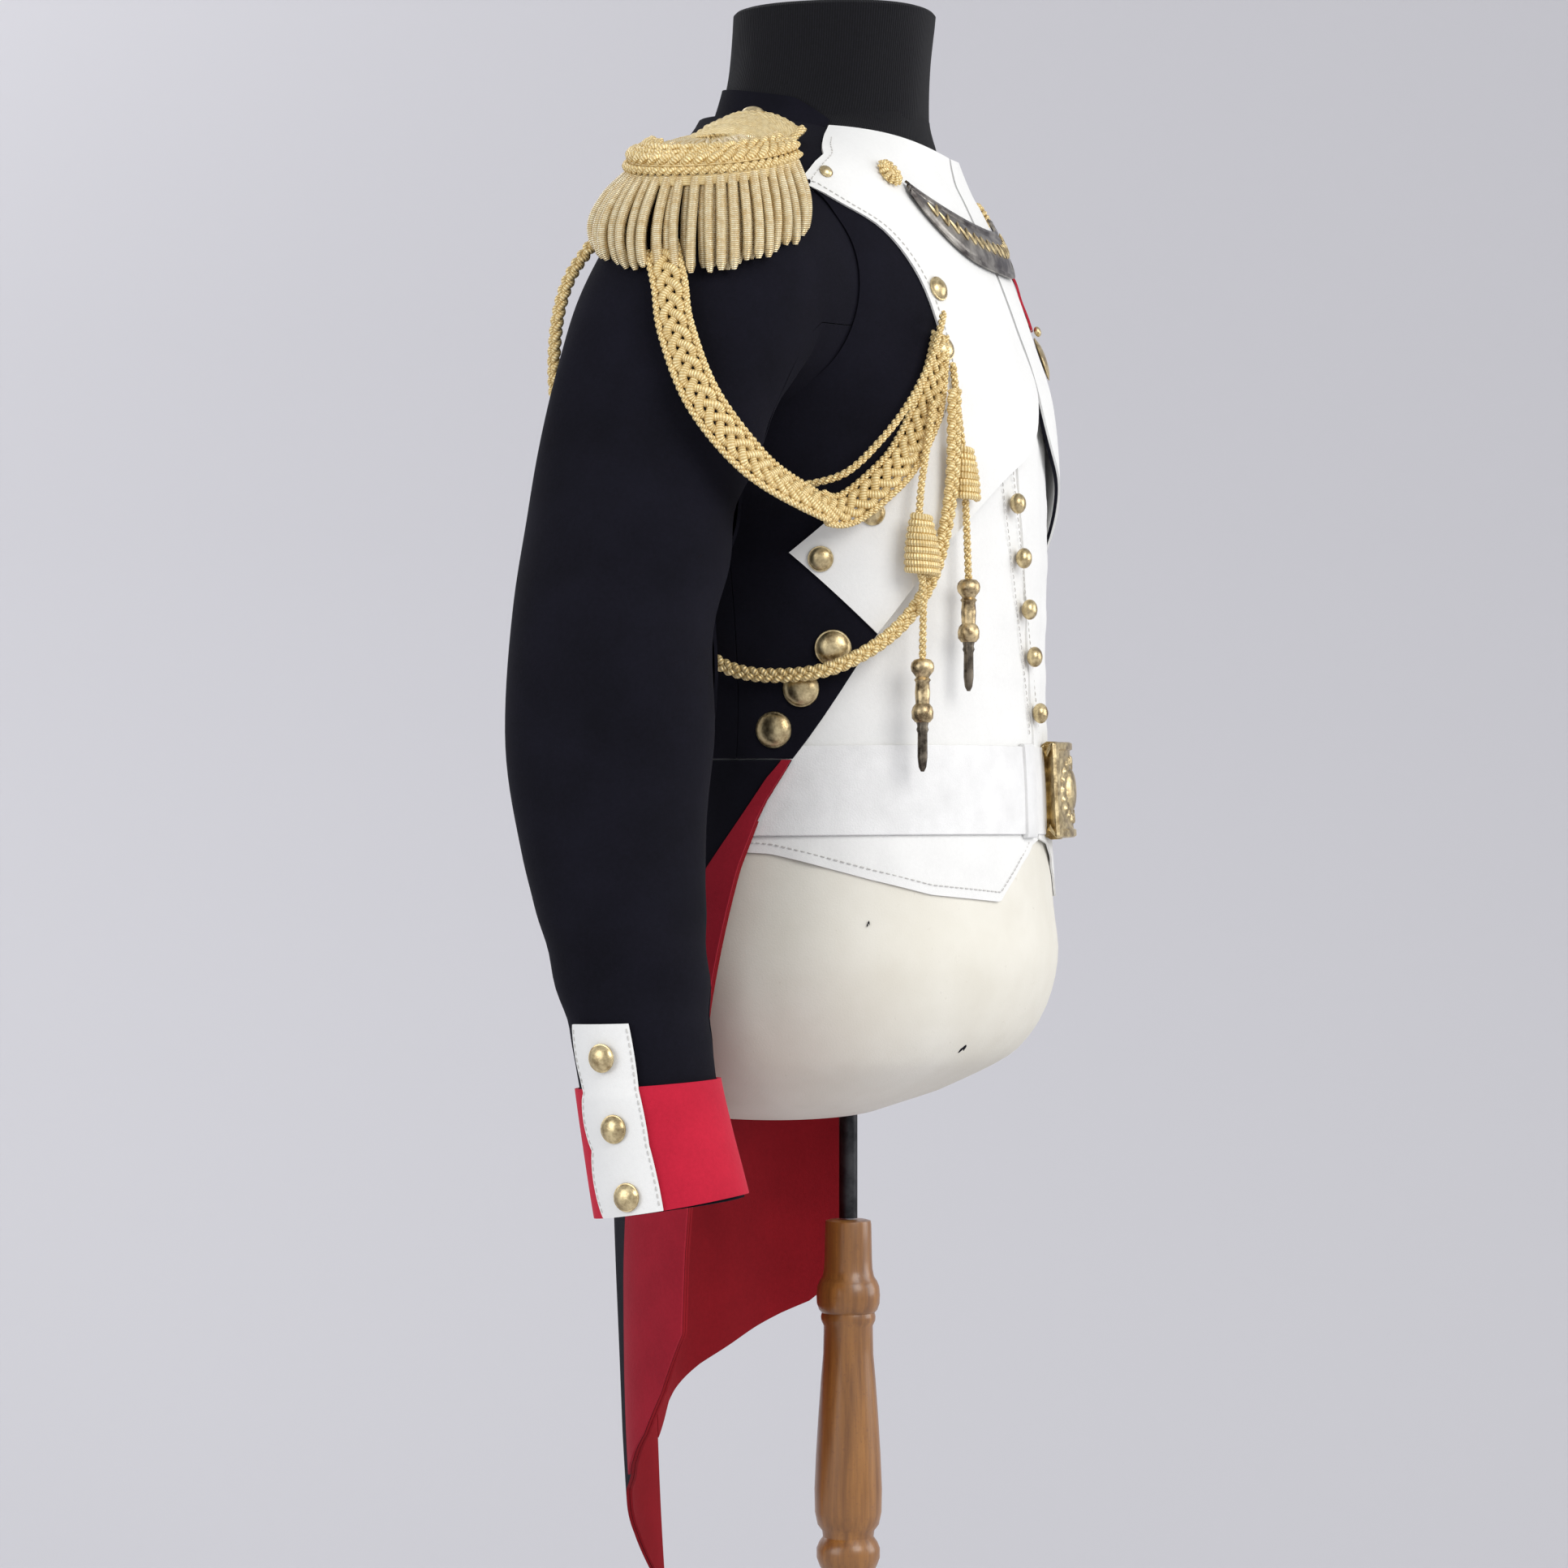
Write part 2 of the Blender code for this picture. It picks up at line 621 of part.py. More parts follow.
# ---- sleeves and cuffs ----
def sleeve_point(row, turn):
    """A point on the right sleeve's outside, from its place along the sleeve and round it."""
    section = between([Step(i + 1, *s) for i, s in enumerate(SLEEVE)], "row", max(row, 1.0))
    middle = Vector(((section.in_x + section.out_x) / 2, section.y, (section.in_z + section.out_z) / 2))
    up = Vector((section.out_x - section.in_x, 0, section.out_z - section.in_z)) / 2
    point = middle + up * cos(radians(turn)) + Vector((0, section.half_depth * sin(radians(turn)), 0))
    point.x = -point.x
    point.z += CUFF_TILT * max(0.0, (row - 10.5) / (END_ROW - 10.5)) * (0.85 - sin(radians(turn)))
    if row < 1.0:
        angle, z = armhole(turn, -0.0032)
        start = coat(angle, z, COAT_LAYER[0])
        point = start.lerp(point, max(row, 0.0))
    return point


Step = namedtuple("Step", "row in_x in_z out_x out_z y half_depth")


def on_sleeve(turn, row, off, side=RIGHT):
    """A point at a distance out from the sleeve."""
    point = sleeve_point(row, turn)
    along = sleeve_point(row + 0.04, turn) - sleeve_point(row - 0.04 if row > 0.05 else row, turn)
    round_it = sleeve_point(row, turn + 2) - sleeve_point(row, turn - 2)
    out = round_it.cross(along).normalized()
    centre = (sleeve_point(row, 0) + sleeve_point(row, 180)) / 2
    if out.dot(point - centre) < 0:
        out = -out
    point += out * off
    if side == LEFT:
        swing = max(0.0, (row - 3.5) / (END_ROW - 3.5)) ** 1.6
        point += Vector((LEFT_SWING[0], LEFT_SWING[1], 0.0)) * swing
    return Vector((point.x * side, point.y, point.z))


def sleeve(side):
    """The top sleeve outside the arm and the under sleeve within, sewn along two seams."""
    name = SIDE_NAMES[side]
    navy = material("navy_cloth", NAVY, 0.9)
    rows = [0.0, 0.5, 1.0, 2.0, 3.0, 4.0, 5.0, 6.0, 7.0, 8.0, 9.0, 10.3, 12.0, 13.0, END_ROW]
    back, front = SLEEVE_SEAMS
    round_it = []
    for piece, first, last, steps in (("top_sleeve", front - 360, back, 10), ("under_sleeve", back, front, 7)):
        turns = [first + 0.3 + (last - first - 0.6) * k / steps for k in range(steps + 1)]
        round_it += [first] + turns[1:-1]
        cut = [[(turn, row) for turn in turns] for row in rows]
        panel(f"{piece}_{name}", cut, (-SLEEVE_WALL, 0.0), side, navy, on_sleeve)
    cuff_rows = [CUFF_ROW, 13.0, END_ROW]
    outer, inner = [], []
    for row in cuff_rows:
        ease = 0.0006 if row in (cuff_rows[0], cuff_rows[-1]) else 0.0
        outer.append([on_sleeve(t, row, CUFF_LAYER[1] - ease, side) for t in round_it])
        inner.append([on_sleeve(t, row, CUFF_LAYER[0], side) for t in round_it])
    shell(f"cuff_{name}", outer, inner, material("scarlet_cloth", SCARLET, 0.85), tube=True)
    cut = []
    for k in range(19):
        share = k / 18
        row = FLAP_ROW + (END_ROW - FLAP_ROW) * share
        lobe = 5.0 * abs(sin(3 * pi * share)) ** 0.6
        first, last = FLAP_TURNS[0] - lobe, FLAP_TURNS[1] + lobe
        cut.append([(first + (last - first) * j / 3, row) for j in range(4)])
    panel(f"cuff_flap_{name}", cut, FLAP_LAYER, side, material("white_cloth", WHITE, 0.8), on_sleeve)


# ---- the waistcoat front and the belt ----
def vest_front(side):
    """The buttoned front that is sewn inside the coat and shows between its edges."""
    cut = []
    for share in (0.0, 0.14, 0.28, 0.42, 0.56, 0.70, 0.82, 0.92, 1.0):
        row = []
        for k in range(9):
            last = 106.0
            flat = last * k / 8
            z = 1.336 + (edge_height(VEST_HEM, flat) - 1.336) * share
            first = side * edge_angle(VEST_CLOSING, z) + 0.2
            row.append((first + (last - first) * k / 8, z))
        cut.append(row)
    white = material("white_cloth", WHITE, 0.8)
    panel(f"vest_front_{SIDE_NAMES[side]}", cut, VEST_LAYER, side, white, on_form)


def on_form(angle, z, off, side=RIGHT):
    return lay(FORM_RINGS, angle, z, off, side)


def belt():
    """A strap all round the waist, under the coat's sides and back, and open for 8 mm under its buckle."""
    white = material("belt_leather", WHITE, 0.6)
    turns = [-4.6 + (360 - 2.8) * k / 52 for k in range(53)]
    cut = [[(turn, z) for turn in turns] for z in (BELT_HIGH_Z, BELT_LOW_Z)]
    panel("belt", cut, BELT_LAYER, RIGHT, white, on_form)
    gilt = material("gilt_metal", GOLD, 0.35, 1.0)
    loop = [[(turn, z) for turn in (10.8, 12.3, 13.8)] for z in (BELT_HIGH_Z + 0.001, BELT_LOW_Z - 0.001)]
    panel("belt_keeper", loop, (BELT_LAYER[1] + 0.0004, BELT_LAYER[1] + 0.0019), RIGHT, white, on_form)
    middle = (BELT_HIGH_Z + BELT_LOW_Z) / 2
    plate = []
    for k in range(7):
        turn = 2.4 - 24.0 * k / 6
        plate.append([(turn, middle + 0.031 * (j - 2) / 2) for j in range(5)])
    panel("belt_buckle", plate, BUCKLE_LAYER, RIGHT, gilt, on_form)


# ---- epaulettes ----
def shoulder_top(x, y, off):
    """A point above the right shoulder's surface at a place seen from above."""
    low, high = 1.38, 1.512
    for _ in range(30):
        z = (low + high) / 2
        ring = between(COAT_RINGS, "z", z)
        reach = ring.widest - ring.front if y < ring.widest else ring.back - ring.widest
        power = 1 / ROUNDNESS
        inside = (abs(x) / ring.half_width) ** (2 * power) + (abs(y - ring.widest) / reach) ** (2 * power) < 1
        if inside:
            low = z
        else:
            high = z
    return Vector((-x, y, low + off))


CRESCENT_X = 0.196
CRESCENT_Y = 0.0245
CRESCENT_Z = 1.4665
CRESCENT_DEPTH = 0.058  # half of its size from front to back
CRESCENT_OUT = 0.059  # from its middle out to its rim
CRESCENT_SLOPE = 0.28
FRINGE_STRANDS = 29
FRINGE_LONG = 0.056


def crescent_rim(turn, scale):
    """A point on the crescent's outline: 0 is the front end, 90 is outwards and 180 the back end."""
    x = CRESCENT_X + CRESCENT_OUT * scale * sin(radians(turn)) ** 0.9
    y = CRESCENT_Y - CRESCENT_DEPTH * scale * signed_power(cos(radians(turn)), 0.85)
    return x, y


def epaulette(side):
    name = SIDE_NAMES[side]
    gold = material("gold_lace", GOLD, 0.5, 0.6)
    outer, inner = [], []
    for k in range(7):
        x = 0.098 + (CRESCENT_X - 0.0005 - 0.098) * k / 6
        rows = ([], [])
        for j in range(5):
            y = 0.027 + 0.0285 * (j - 2) / 2
            for row, off in zip(rows, (0.0150, 0.0105)):
                point = shoulder_top(min(x, 0.156), y, off - 0.18 * max(0.0, x - 0.156))
                row.append(Vector((-x * side, point.y, point.z)))
        outer.append(rows[0])
        inner.append(rows[1])
    shell(f"epaulette_strap_{name}", outer, inner, gold)

    profile = [(0.04, 0.0085), (0.66, 0.0085), (0.76, 0.0118), (0.84, 0.0086), (0.93, 0.0100), (1.0, 0.0030)]
    under = [(0.04, 0.0), (0.66, -0.0005), (0.76, -0.0008), (0.84, -0.0010), (0.93, -0.0012), (0.99, -0.0016)]
    outer, inner = [], []
    turns = [180.0 * k / 16 for k in range(17)]
    for (scale, up), (low_scale, low_up) in zip(profile, under):
        rows = ([], [])
        for row, s, u in ((rows[0], scale, up), (rows[1], low_scale, low_up)):
            for turn in turns:
                x, y = crescent_rim(turn, s)
                z = CRESCENT_Z - CRESCENT_SLOPE * (x - CRESCENT_X) + u
                row.append(Vector((-x * side, y, z)))
        outer.append(rows[0])
        inner.append(rows[1])
    shell(f"epaulette_crescent_{name}", outer, inner, gold)
    fringe(side, gold)


def fringe(side, gold):
    """Bullions drawn down from a strip under the crescent's rim, every other face of the strip being a strand."""
    bm = bmesh.new()
    cells = 2 * FRINGE_STRANDS - 1
    corners = []
    for k in range(cells + 1):
        turn = 2.0 + 176.0 * k / cells
        ring = []
        for scale, drop in ((0.955, 0.0024), (0.955, 0.0060), (0.865, 0.0060), (0.865, 0.0024)):
            x, y = crescent_rim(turn, scale)
            z = CRESCENT_Z - CRESCENT_SLOPE * (x - CRESCENT_X) - drop
            ring.append(bm.verts.new((-x * side, y, z)))
        corners.append(ring)
    strands = []
    for k, (a, b) in enumerate(zip(corners, corners[1:])):
        for j in range(4):
            face = bm.faces.new((a[j], b[j], b[(j + 1) % 4], a[(j + 1) % 4]))
            if j == 1 and k % 2 == 0:
                strands.append(face)
    bm.faces.new(corners[0])
    bm.faces.new(corners[-1])
    centre = Vector((-CRESCENT_X * side, CRESCENT_Y, 0))
    for face in strands:
        made = bmesh.ops.extrude_discrete_faces(bm, faces=[face])
        face = made["faces"][0]
        middle = face.calc_center_median()
        out = (Vector((middle.x, middle.y, 0)) - centre).normalized()
        for vert in face.verts:
            drop = FRINGE_LONG * (0.66 + 0.34 * abs(out.x))
            vert.co += out * 0.011 * (1 + max(1.7 * out.y, -0.3 * out.y)) - Vector((0, 0, drop))
    finish_mesh(f"epaulette_fringe_{SIDE_NAMES[side]}", bm, gold)


# ---- the aiguillette on the right shoulder ----
Lie = namedtuple("Lie", "angle z off")  # a point of a route that lies on the coat

BAND_ROUTE = [
    (-0.2660, 0.0340, 1.3840),
    (-0.2715, 0.0280, 1.3560),
    (-0.2750, 0.0100, 1.3140),
    (-0.2570, -0.0160, 1.2770),
    (-0.2160, -0.0380, 1.2570),
    Lie(72.0, 1.2540, 0.0240),
    Lie(61.0, 1.2740, 0.0180),
    Lie(54.0, 1.2920, 0.0128),
    Lie(47.5, 1.3180, 0.0119),
    Lie(43.0, 1.3420, 0.0121),
    Lie(39.5, 1.3600, 0.0131),
]
THIN_ROUTE = [
    Lie(74.0, 1.2720, 0.0280),
    Lie(63.5, 1.2890, 0.0225),
    Lie(54.0, 1.3060, 0.0190),
    Lie(45.5, 1.3380, 0.0185),
    Lie(41.0, 1.3600, 0.0184),
    Lie(38.0, 1.3720, 0.0175),
]
BRAID_ROUTE = [
    Lie(42.3, 1.3260, 0.0214),
    Lie(43.3, 1.3040, 0.0202),
    Lie(44.0, 1.2740, 0.0178),
    Lie(46.0, 1.2440, 0.0158),
    Lie(50.0, 1.2140, 0.0156),
    Lie(57.0, 1.1880, 0.0164),
    Lie(67.0, 1.1680, 0.0196),
    Lie(78.5, 1.1550, 0.0206),
    Lie(92.6, 1.1530, 0.0160),
    Lie(105.0, 1.1620, 0.0152),
    Lie(117.0, 1.1850, 0.0156),
    Lie(125.0, 1.2300, 0.0160),
    (-0.1700, 0.1280, 1.2750),
    (-0.1960, 0.1310, 1.3200),
    (-0.2080, 0.1270, 1.3620),
    (-0.2100, 0.1180, 1.3940),
]
TAG_ROUTES = {
    "front": [
        Lie(39.2, 1.3420, 0.0152),
        Lie(39.4, 1.3180, 0.0137),
        Lie(39.0, 1.2800, 0.0137),
        Lie(39.5, 1.2120, 0.0160),
    ],
    "rear": [
        Lie(47.5, 1.3200, 0.0168),
        Lie(50.0, 1.3000, 0.0190),
        Lie(53.5, 1.2680, 0.0215),
        Lie(55.0, 1.2380, 0.0235),
        Lie(54.5, 1.2040, 0.0250),
        Lie(54.5, 1.1620, 0.0235),
    ],
}


def lie(route):
    """The places of a route's points."""
    return [coat(*point) if isinstance(point, Lie) else Vector(point) for point in route]


def aiguillette():
    gold = material("gold_cord", GOLD, 0.5, 0.6)
    dark = material("tag_metal", SILVER, 0.35, 1.0)

    def from_body(point):
        return Vector((point.x + 0.16 if point.x < -0.2 else point.x * 0.8, point.y - 0.03, 0.0))

    def taper(share):
        return 0.0125 - 0.0075 * max(0.0, share - 0.86) / 0.14

    sweep("aiguillette_band", spline(lie(BAND_ROUTE), 24), taper, 0.0027, gold, from_body)
    cord("aiguillette_thin_cord", lie(THIN_ROUTE), 0.0050, 15, gold)
    cord("aiguillette_braid", lie(BRAID_ROUTE), 0.0095, 36, gold)
    for name, route in TAG_ROUTES.items():
        points = lie(route)
        cord(f"aiguillette_{name}_cord", points, 0.0050, 16, gold)
        x, y, z = points[-1]
        profile = [(0.0020, 0.0), (0.0068, -0.002), (0.0072, -0.007), (0.0052, -0.010), (0.0046, -0.028)]
        profile += [(0.0066, -0.031), (0.0066, -0.036), (0.0034, -0.040), (0.0030, -0.064), (0.0012, -0.069)]
        tag = [(radius, z - 0.0003 + drop) for radius, drop in profile]
        lathe(f"aiguillette_tag_{name}", tag, 8, dark, (x, y))


# ---- the gorget, the medal and the buttons ----
def gorget():
    silver = material("gorget_silver", SILVER, 0.3, 1.0)
    cut = []
    for k in range(15):
        angle = -31.5 + 63.0 * k / 14
        bend = (angle / 31.5) ** 2
        low, high = 1.408 + 0.040 * bend**1.5, 1.438 + 0.018 * bend
        cut.append([(angle, low + (high - low) * j / 3) for j in range(4)])
    panel("gorget", cut, GORGET_LAYER, RIGHT, silver)
    for side in (RIGHT, LEFT):
        button(f"gorget_rosette_{SIDE_NAMES[side]}", 36.4, 1.4590, 0.0095, 0.0045, side, TRIM_LAYER[1])


def button(name, angle, z, radius, high, side, off):
    """A domed metal button standing on a layer of the coat."""
    seat = coat(angle, z, off + 0.0004, side)
    out = (coat(angle, z, off + 0.005, side) - seat).normalized()
    across = out.cross(Vector((0, 0, 1))).normalized()
    up = across.cross(out)
    bm = bmesh.new()
    rings = []
    sides = 10
    for share, rise in ((0.85, 0.0), (1.0, 0.35), (0.75, 0.80), (0.30, 1.0)):
        turns = [2 * pi * k / sides for k in range(sides)]
        ring = [seat + (across * cos(t) + up * sin(t)) * radius * share + out * high * rise for t in turns]
        rings.append([bm.verts.new(point) for point in ring])
    for a, b in zip(rings, rings[1:]):
        for k in range(sides):
            bm.faces.new((a[k], a[(k + 1) % sides], b[(k + 1) % sides], b[k]))
    bm.faces.new(rings[0])
    bm.faces.new(rings[-1])
    finish_mesh(name, bm, material("gilt_metal", GOLD, 0.35, 1.0))


LARGE_BUTTONS = [Edge(1.1690, 75.5), Edge(1.1440, 83.5), Edge(1.1185, 89.5)]


def buttons():
    for side in (RIGHT, LEFT):
        for k, place in enumerate(LARGE_BUTTONS):
            name = f"coat_button_{SIDE_NAMES[side]}{k + 1}"
            button(name, place.angle, place.z, 0.0115, 0.0055, side, COAT_LAYER[1])


def medal():
    """A ribbon loop on the left lapel with a plain disc below it."""
    off = TRIM_LAYER[1] + 0.0004
    for name, rows, thick, finish in (
        ("medal_ribbon", (1.416, 1.404, 1.392, 1.380), 0.0015, material("ribbon_silk", SCARLET, 0.5)),
        ("medal_disc", (1.3795, 1.368, 1.355, 1.3425), 0.0025, material("gilt_metal", GOLD, 0.35, 1.0)),
    ):
        cut = []
        for k, z in enumerate(rows):
            half = 3.6 if name == "medal_ribbon" else (2.0, 4.4, 4.4, 2.0)[k]
            cut.append([(22.0 + half * j / 2, z) for j in (-2, -1, 0, 1, 2)])
        panel(name, cut, (off, off + thick), LEFT, finish)


def main():
    for old in list(bpy.data.objects):
        bpy.data.objects.remove(old)
    dress_form()
    stand()
    for side in (RIGHT, LEFT):
        front_panel(side)
        back_panel(side)
        skirt(side)
        lapel(side)
        sleeve(side)
        vest_front(side)
        epaulette(side)
    collar()
    belt()
    aiguillette()
    gorget()
    medal()
    buttons()


main()
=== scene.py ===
"""Dress Tunic: a military dress tunic with its lace, cords and belt on a dress form, as a Blender add-on.

The tunic's front faces -Y, the wearer's right is -X, +Z is up and the origin is on the floor under the pole.
Cloth is laid on two smooth bodies, the form's and the coat's, by an angle round them, 0 at the centre front and
180 at the centre back, and a height. A layer is a distance out from the body. All lengths are in metres.
"""

from math import cos, pi, radians, sin

import bmesh
import bpy
import numpy as np
from bpy.props import FloatProperty, FloatVectorProperty, IntProperty, PointerProperty
from bpy.types import Operator, Panel, PropertyGroup
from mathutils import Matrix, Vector


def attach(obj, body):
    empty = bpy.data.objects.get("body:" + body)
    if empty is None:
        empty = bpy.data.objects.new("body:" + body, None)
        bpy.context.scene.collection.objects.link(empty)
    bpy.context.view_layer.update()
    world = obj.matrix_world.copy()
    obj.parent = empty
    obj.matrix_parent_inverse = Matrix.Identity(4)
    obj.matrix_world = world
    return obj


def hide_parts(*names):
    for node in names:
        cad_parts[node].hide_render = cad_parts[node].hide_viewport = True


bl_info = {
    "name": "Dress Tunic",
    "version": (1, 0, 0),
    "blender": (4, 5, 0),
    "location": "View3D > Sidebar > Tunic",
    "description": "Builds a military dress tunic on a dress form, with a stage to show it on",
    "category": "Object",
}

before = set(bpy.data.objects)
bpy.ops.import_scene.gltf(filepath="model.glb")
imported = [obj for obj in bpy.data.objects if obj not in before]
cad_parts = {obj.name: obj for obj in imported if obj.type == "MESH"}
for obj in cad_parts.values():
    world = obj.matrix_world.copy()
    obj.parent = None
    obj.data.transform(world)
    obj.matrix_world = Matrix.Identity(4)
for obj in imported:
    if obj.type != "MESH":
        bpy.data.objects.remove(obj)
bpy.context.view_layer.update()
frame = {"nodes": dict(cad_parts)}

RIGHT = 1
LEFT = -1
SIDES = ((RIGHT, "R"), (LEFT, "L"))

# ---- the bodies' level rings: z, half width, front, widest place and back ----
FORM_RINGS = [
    (0.872, 0.088, -0.014, 0.034, 0.088),
    (0.878, 0.108, -0.032, 0.030, 0.100),
    (0.887, 0.126, -0.058, 0.022, 0.108),
    (0.913, 0.154, -0.106, 0.010, 0.121),
    (0.960, 0.171, -0.130, 0.005, 0.129),
    (1.020, 0.167, -0.129, 0.004, 0.120),
    (1.080, 0.157, -0.126, 0.003, 0.103),
    (1.160, 0.157, -0.123, 0.001, 0.106),
    (1.250, 0.165, -0.1235, 0.002, 0.124),
    (1.330, 0.173, -0.118, 0.007, 0.134),
    (1.375, 0.177, -0.103, 0.013, 0.133),
    (1.414, 0.182, -0.088, 0.020, 0.130),
    (1.440, 0.183, -0.076, 0.025, 0.124),
    (1.457, 0.177, -0.068, 0.028, 0.117),
    (1.467, 0.164, -0.063, 0.029, 0.111),
    (1.478, 0.137, -0.060, 0.028, 0.105),
    (1.489, 0.106, -0.058, 0.025, 0.100),
    (1.500, 0.083, -0.056, 0.021, 0.095),
    (1.513, 0.070, -0.055, 0.017, 0.089),
    (1.545, 0.064, -0.056, 0.012, 0.081),
    (1.586, 0.063, -0.060, 0.010, 0.078),
]
SKIRT_RINGS = [
    (0.560, 0.164, -0.120, 0.0, 0.120),
    (0.640, 0.168, -0.125, 0.0, 0.125),
    (0.720, 0.172, -0.128, 0.0, 0.129),
    (0.800, 0.176, -0.130, 0.0, 0.132),
    (0.880, 0.179, -0.131, 0.0, 0.134),
    (0.960, 0.180, -0.132, 0.002, 0.135),
    (1.020, 0.173, -0.130, 0.003, 0.126),
]
SHARP_TURN = 42.0  # degrees past which an edge is shaded sharp
BODY_AXIS_Y = 0.02  # the depth of the body's upright axis
NECK_AXIS_Y = 0.018  # and of the neck's
SHOULDER_Z = 1.44  # above this height a surface can only face up
ROUNDNESS = 0.90  # exponent of the level sections: 1 is an ellipse, less is squarer

# distances out from the form's body
FORM_EASE = 0.0036
VEST_OUT = 0.0006
BELT_LAYER = (0.0013, 0.0034)
LINING_LAYER = (0.0044, 0.0060)
COAT_LAYER = (0.0063, 0.0083)
TRIM_LAYER = (0.0086, 0.0101)
GORGET_LAYER = (0.0110, 0.0124)

# ---- the cut: edges given as heights and angles ----
NECK_Z = 1.500
WAIST_Z = 1.100
SIDE_SEAM = 100.0
SEAM_GAP = 0.0004  # left open where two cuts meet
WAIST_RIM = 0.005  # how far below the waist seam the tail's edge keeps its own finish
BACK_SEAM = 179.85  # where the backs end at the centre back
VENT = 179.88  # where the tails end there
FRONT_EDGE = [
    (1.486, 0.6), (1.440, 0.6), (1.375, 0.6), (1.318, 0.8), (1.305, 3.0), (1.288, 14.0), (1.258, 34.0),
    (1.226, 48.0), (1.175, 65.0), (1.133, 76.0), (1.105, 84.5), (1.072, 91.0), (1.040, 95.0), (0.960, 101.0),
    (0.900, 105.0), (0.810, 110.0), (0.745, 112.0),
]
LAPEL_OUTER = [
    (1.4905, 65.0), (1.4780, 61.5), (1.4665, 58.5), (1.4510, 67.0), (1.4400, 57.0), (1.4240, 45.0), (1.3960, 38.3),
    (1.3600, 38.0), (1.3240, 42.0), (1.2850, 53.0), (1.2700, 62.0), (1.2540, 72.5), (1.2280, 85.5),
]
LAPEL_INNER_Z = [
    1.4870, 1.4790, 1.4700, 1.4570, 1.4400, 1.4200, 1.3930, 1.3620, 1.3280, 1.2980, 1.2720, 1.2300, 1.1780,
]
FRONT_SIDE_Z = [
    1.5010, 1.4900, 1.4780, 1.4650, 1.4500, 1.4300, 1.4050, 1.3720, 1.3420, 1.3115, 1.2850, 1.2550, 1.2180,
]
VEST_HEM = [(1.050, 0.0), (1.046, 6.0), (1.011, 23.0), (1.0165, 47.0), (1.0265, 65.0), (1.042, 90.0), (1.044, 106.0)]
VEST_CLOSING = [(1.050, 0.0), (1.130, 1.0), (1.270, 8.0), (1.336, 9.0)]
TAIL_HEMS = {
    RIGHT: [
        (0.745, 112.0), (0.722, 118.0), (0.700, 122.0), (0.685, 127.0), (0.666, 134.0), (0.650, 144.0),
        (0.632, 158.0), (0.600, 168.5), (0.575, 175.0), (0.558, 179.6),
    ],
    LEFT: [
        (0.745, 112.0), (0.731, 120.0), (0.722, 131.0), (0.711, 142.6), (0.695, 158.0), (0.677, 172.0), (0.655, 179.6),
    ],
}
TURNBACK_BACK = [
    (1.100, 87.5), (1.045, 101.0), (1.000, 112.0), (0.960, 116.0), (0.880, 128.0), (0.800, 139.0), (0.680, 147.0),
]
ARMHOLE = (0.026, 1.386, 0.074, 0.078)  # its middle's y and z, half depth and half height

# the sleeve's sections: inner and outer points, then the middle and half of its depth from front to back
SLEEVE = [
    (0.1860, 1.3130, 0.2050, 1.4545, 0.0300, 0.0720),
    (0.1900, 1.3070, 0.2280, 1.4400, 0.0340, 0.0720),
    (0.1915, 1.2980, 0.2480, 1.4120, 0.0400, 0.0710),
    (0.1905, 1.2870, 0.2620, 1.3720, 0.0476, 0.0700),
    (0.1880, 1.2700, 0.2700, 1.3250, 0.0570, 0.0680),
    (0.1850, 1.2400, 0.2820, 1.2620, 0.0680, 0.0650),
    (0.1930, 1.1900, 0.3020, 1.1960, 0.0740, 0.0630),
    (0.2060, 1.1100, 0.3160, 1.1100, 0.0740, 0.0625),
    (0.2170, 1.0440, 0.3220, 1.0440, 0.0680, 0.0560),
    (0.2250, 1.0000, 0.3245, 1.0000, 0.0600, 0.0495),
    (0.2330, 0.9460, 0.3260, 0.9460, 0.0490, 0.0425),
    (0.2390, 0.9050, 0.3265, 0.9050, 0.0418, 0.0402),
    (0.2420, 0.8700, 0.3275, 0.8700, 0.0346, 0.0399),
    (0.2430, 0.8290, 0.3300, 0.8290, 0.0255, 0.0430),
]
LEFT_SWING = (0.036, 0.118)  # how far the left wrist hangs nearer the body, and behind the right one's place
CUFF_TILT = 0.0065  # how far the cuff's front rises
CUFF_ROW = 12.0
FLAP_ROW = 11.05
FLAP_TURNS = (-12.5, 37.0)
END_ROW = 14.0


# ---- smooth surfaces ----
def densify(rows, steps=32):
    """The rows of a table on a smooth curve through them, with many more steps."""
    rows = np.array(sorted(rows), float)
    keys = rows[:, 0]
    slopes = np.empty_like(rows)
    slopes[1:-1] = (rows[2:] - rows[:-2]) / (keys[2:] - keys[:-2])[:, None]
    slopes[0] = (rows[1] - rows[0]) / (keys[1] - keys[0])
    slopes[-1] = (rows[-1] - rows[-2]) / (keys[-1] - keys[-2])
    out = []
    for i in range(len(rows) - 1):
        wide = keys[i + 1] - keys[i]
        for t in np.arange(steps) / steps:
            out.append(
                rows[i] * (1 + 2 * t) * (1 - t) ** 2
                + slopes[i] * wide * t * (1 - t) ** 2
                + rows[i + 1] * t * t * (3 - 2 * t)
                + slopes[i + 1] * wide * t * t * (t - 1)
            )
            out[-1][0] = keys[i] + wide * t
    out.append(rows[-1])
    return np.array(out)


FORM_CURVE = densify(FORM_RINGS)
COAT_CURVE = densify(SKIRT_RINGS + FORM_RINGS[6:])
SLEEVE_CURVE = densify([(i + 1, *row) for i, row in enumerate(SLEEVE)])


def along(table, z):
    """The angle of an edge at heights."""
    rows = np.array(sorted(table))
    return np.interp(z, rows[:, 0], rows[:, 1])


def across(table, angle):
    """The height of an edge at angles."""
    rows = np.array(sorted(table, key=lambda row: row[1]))
    return np.interp(angle, rows[:, 1], rows[:, 0])


def signed_power(value, power):
    return np.sign(value) * np.abs(value) ** power


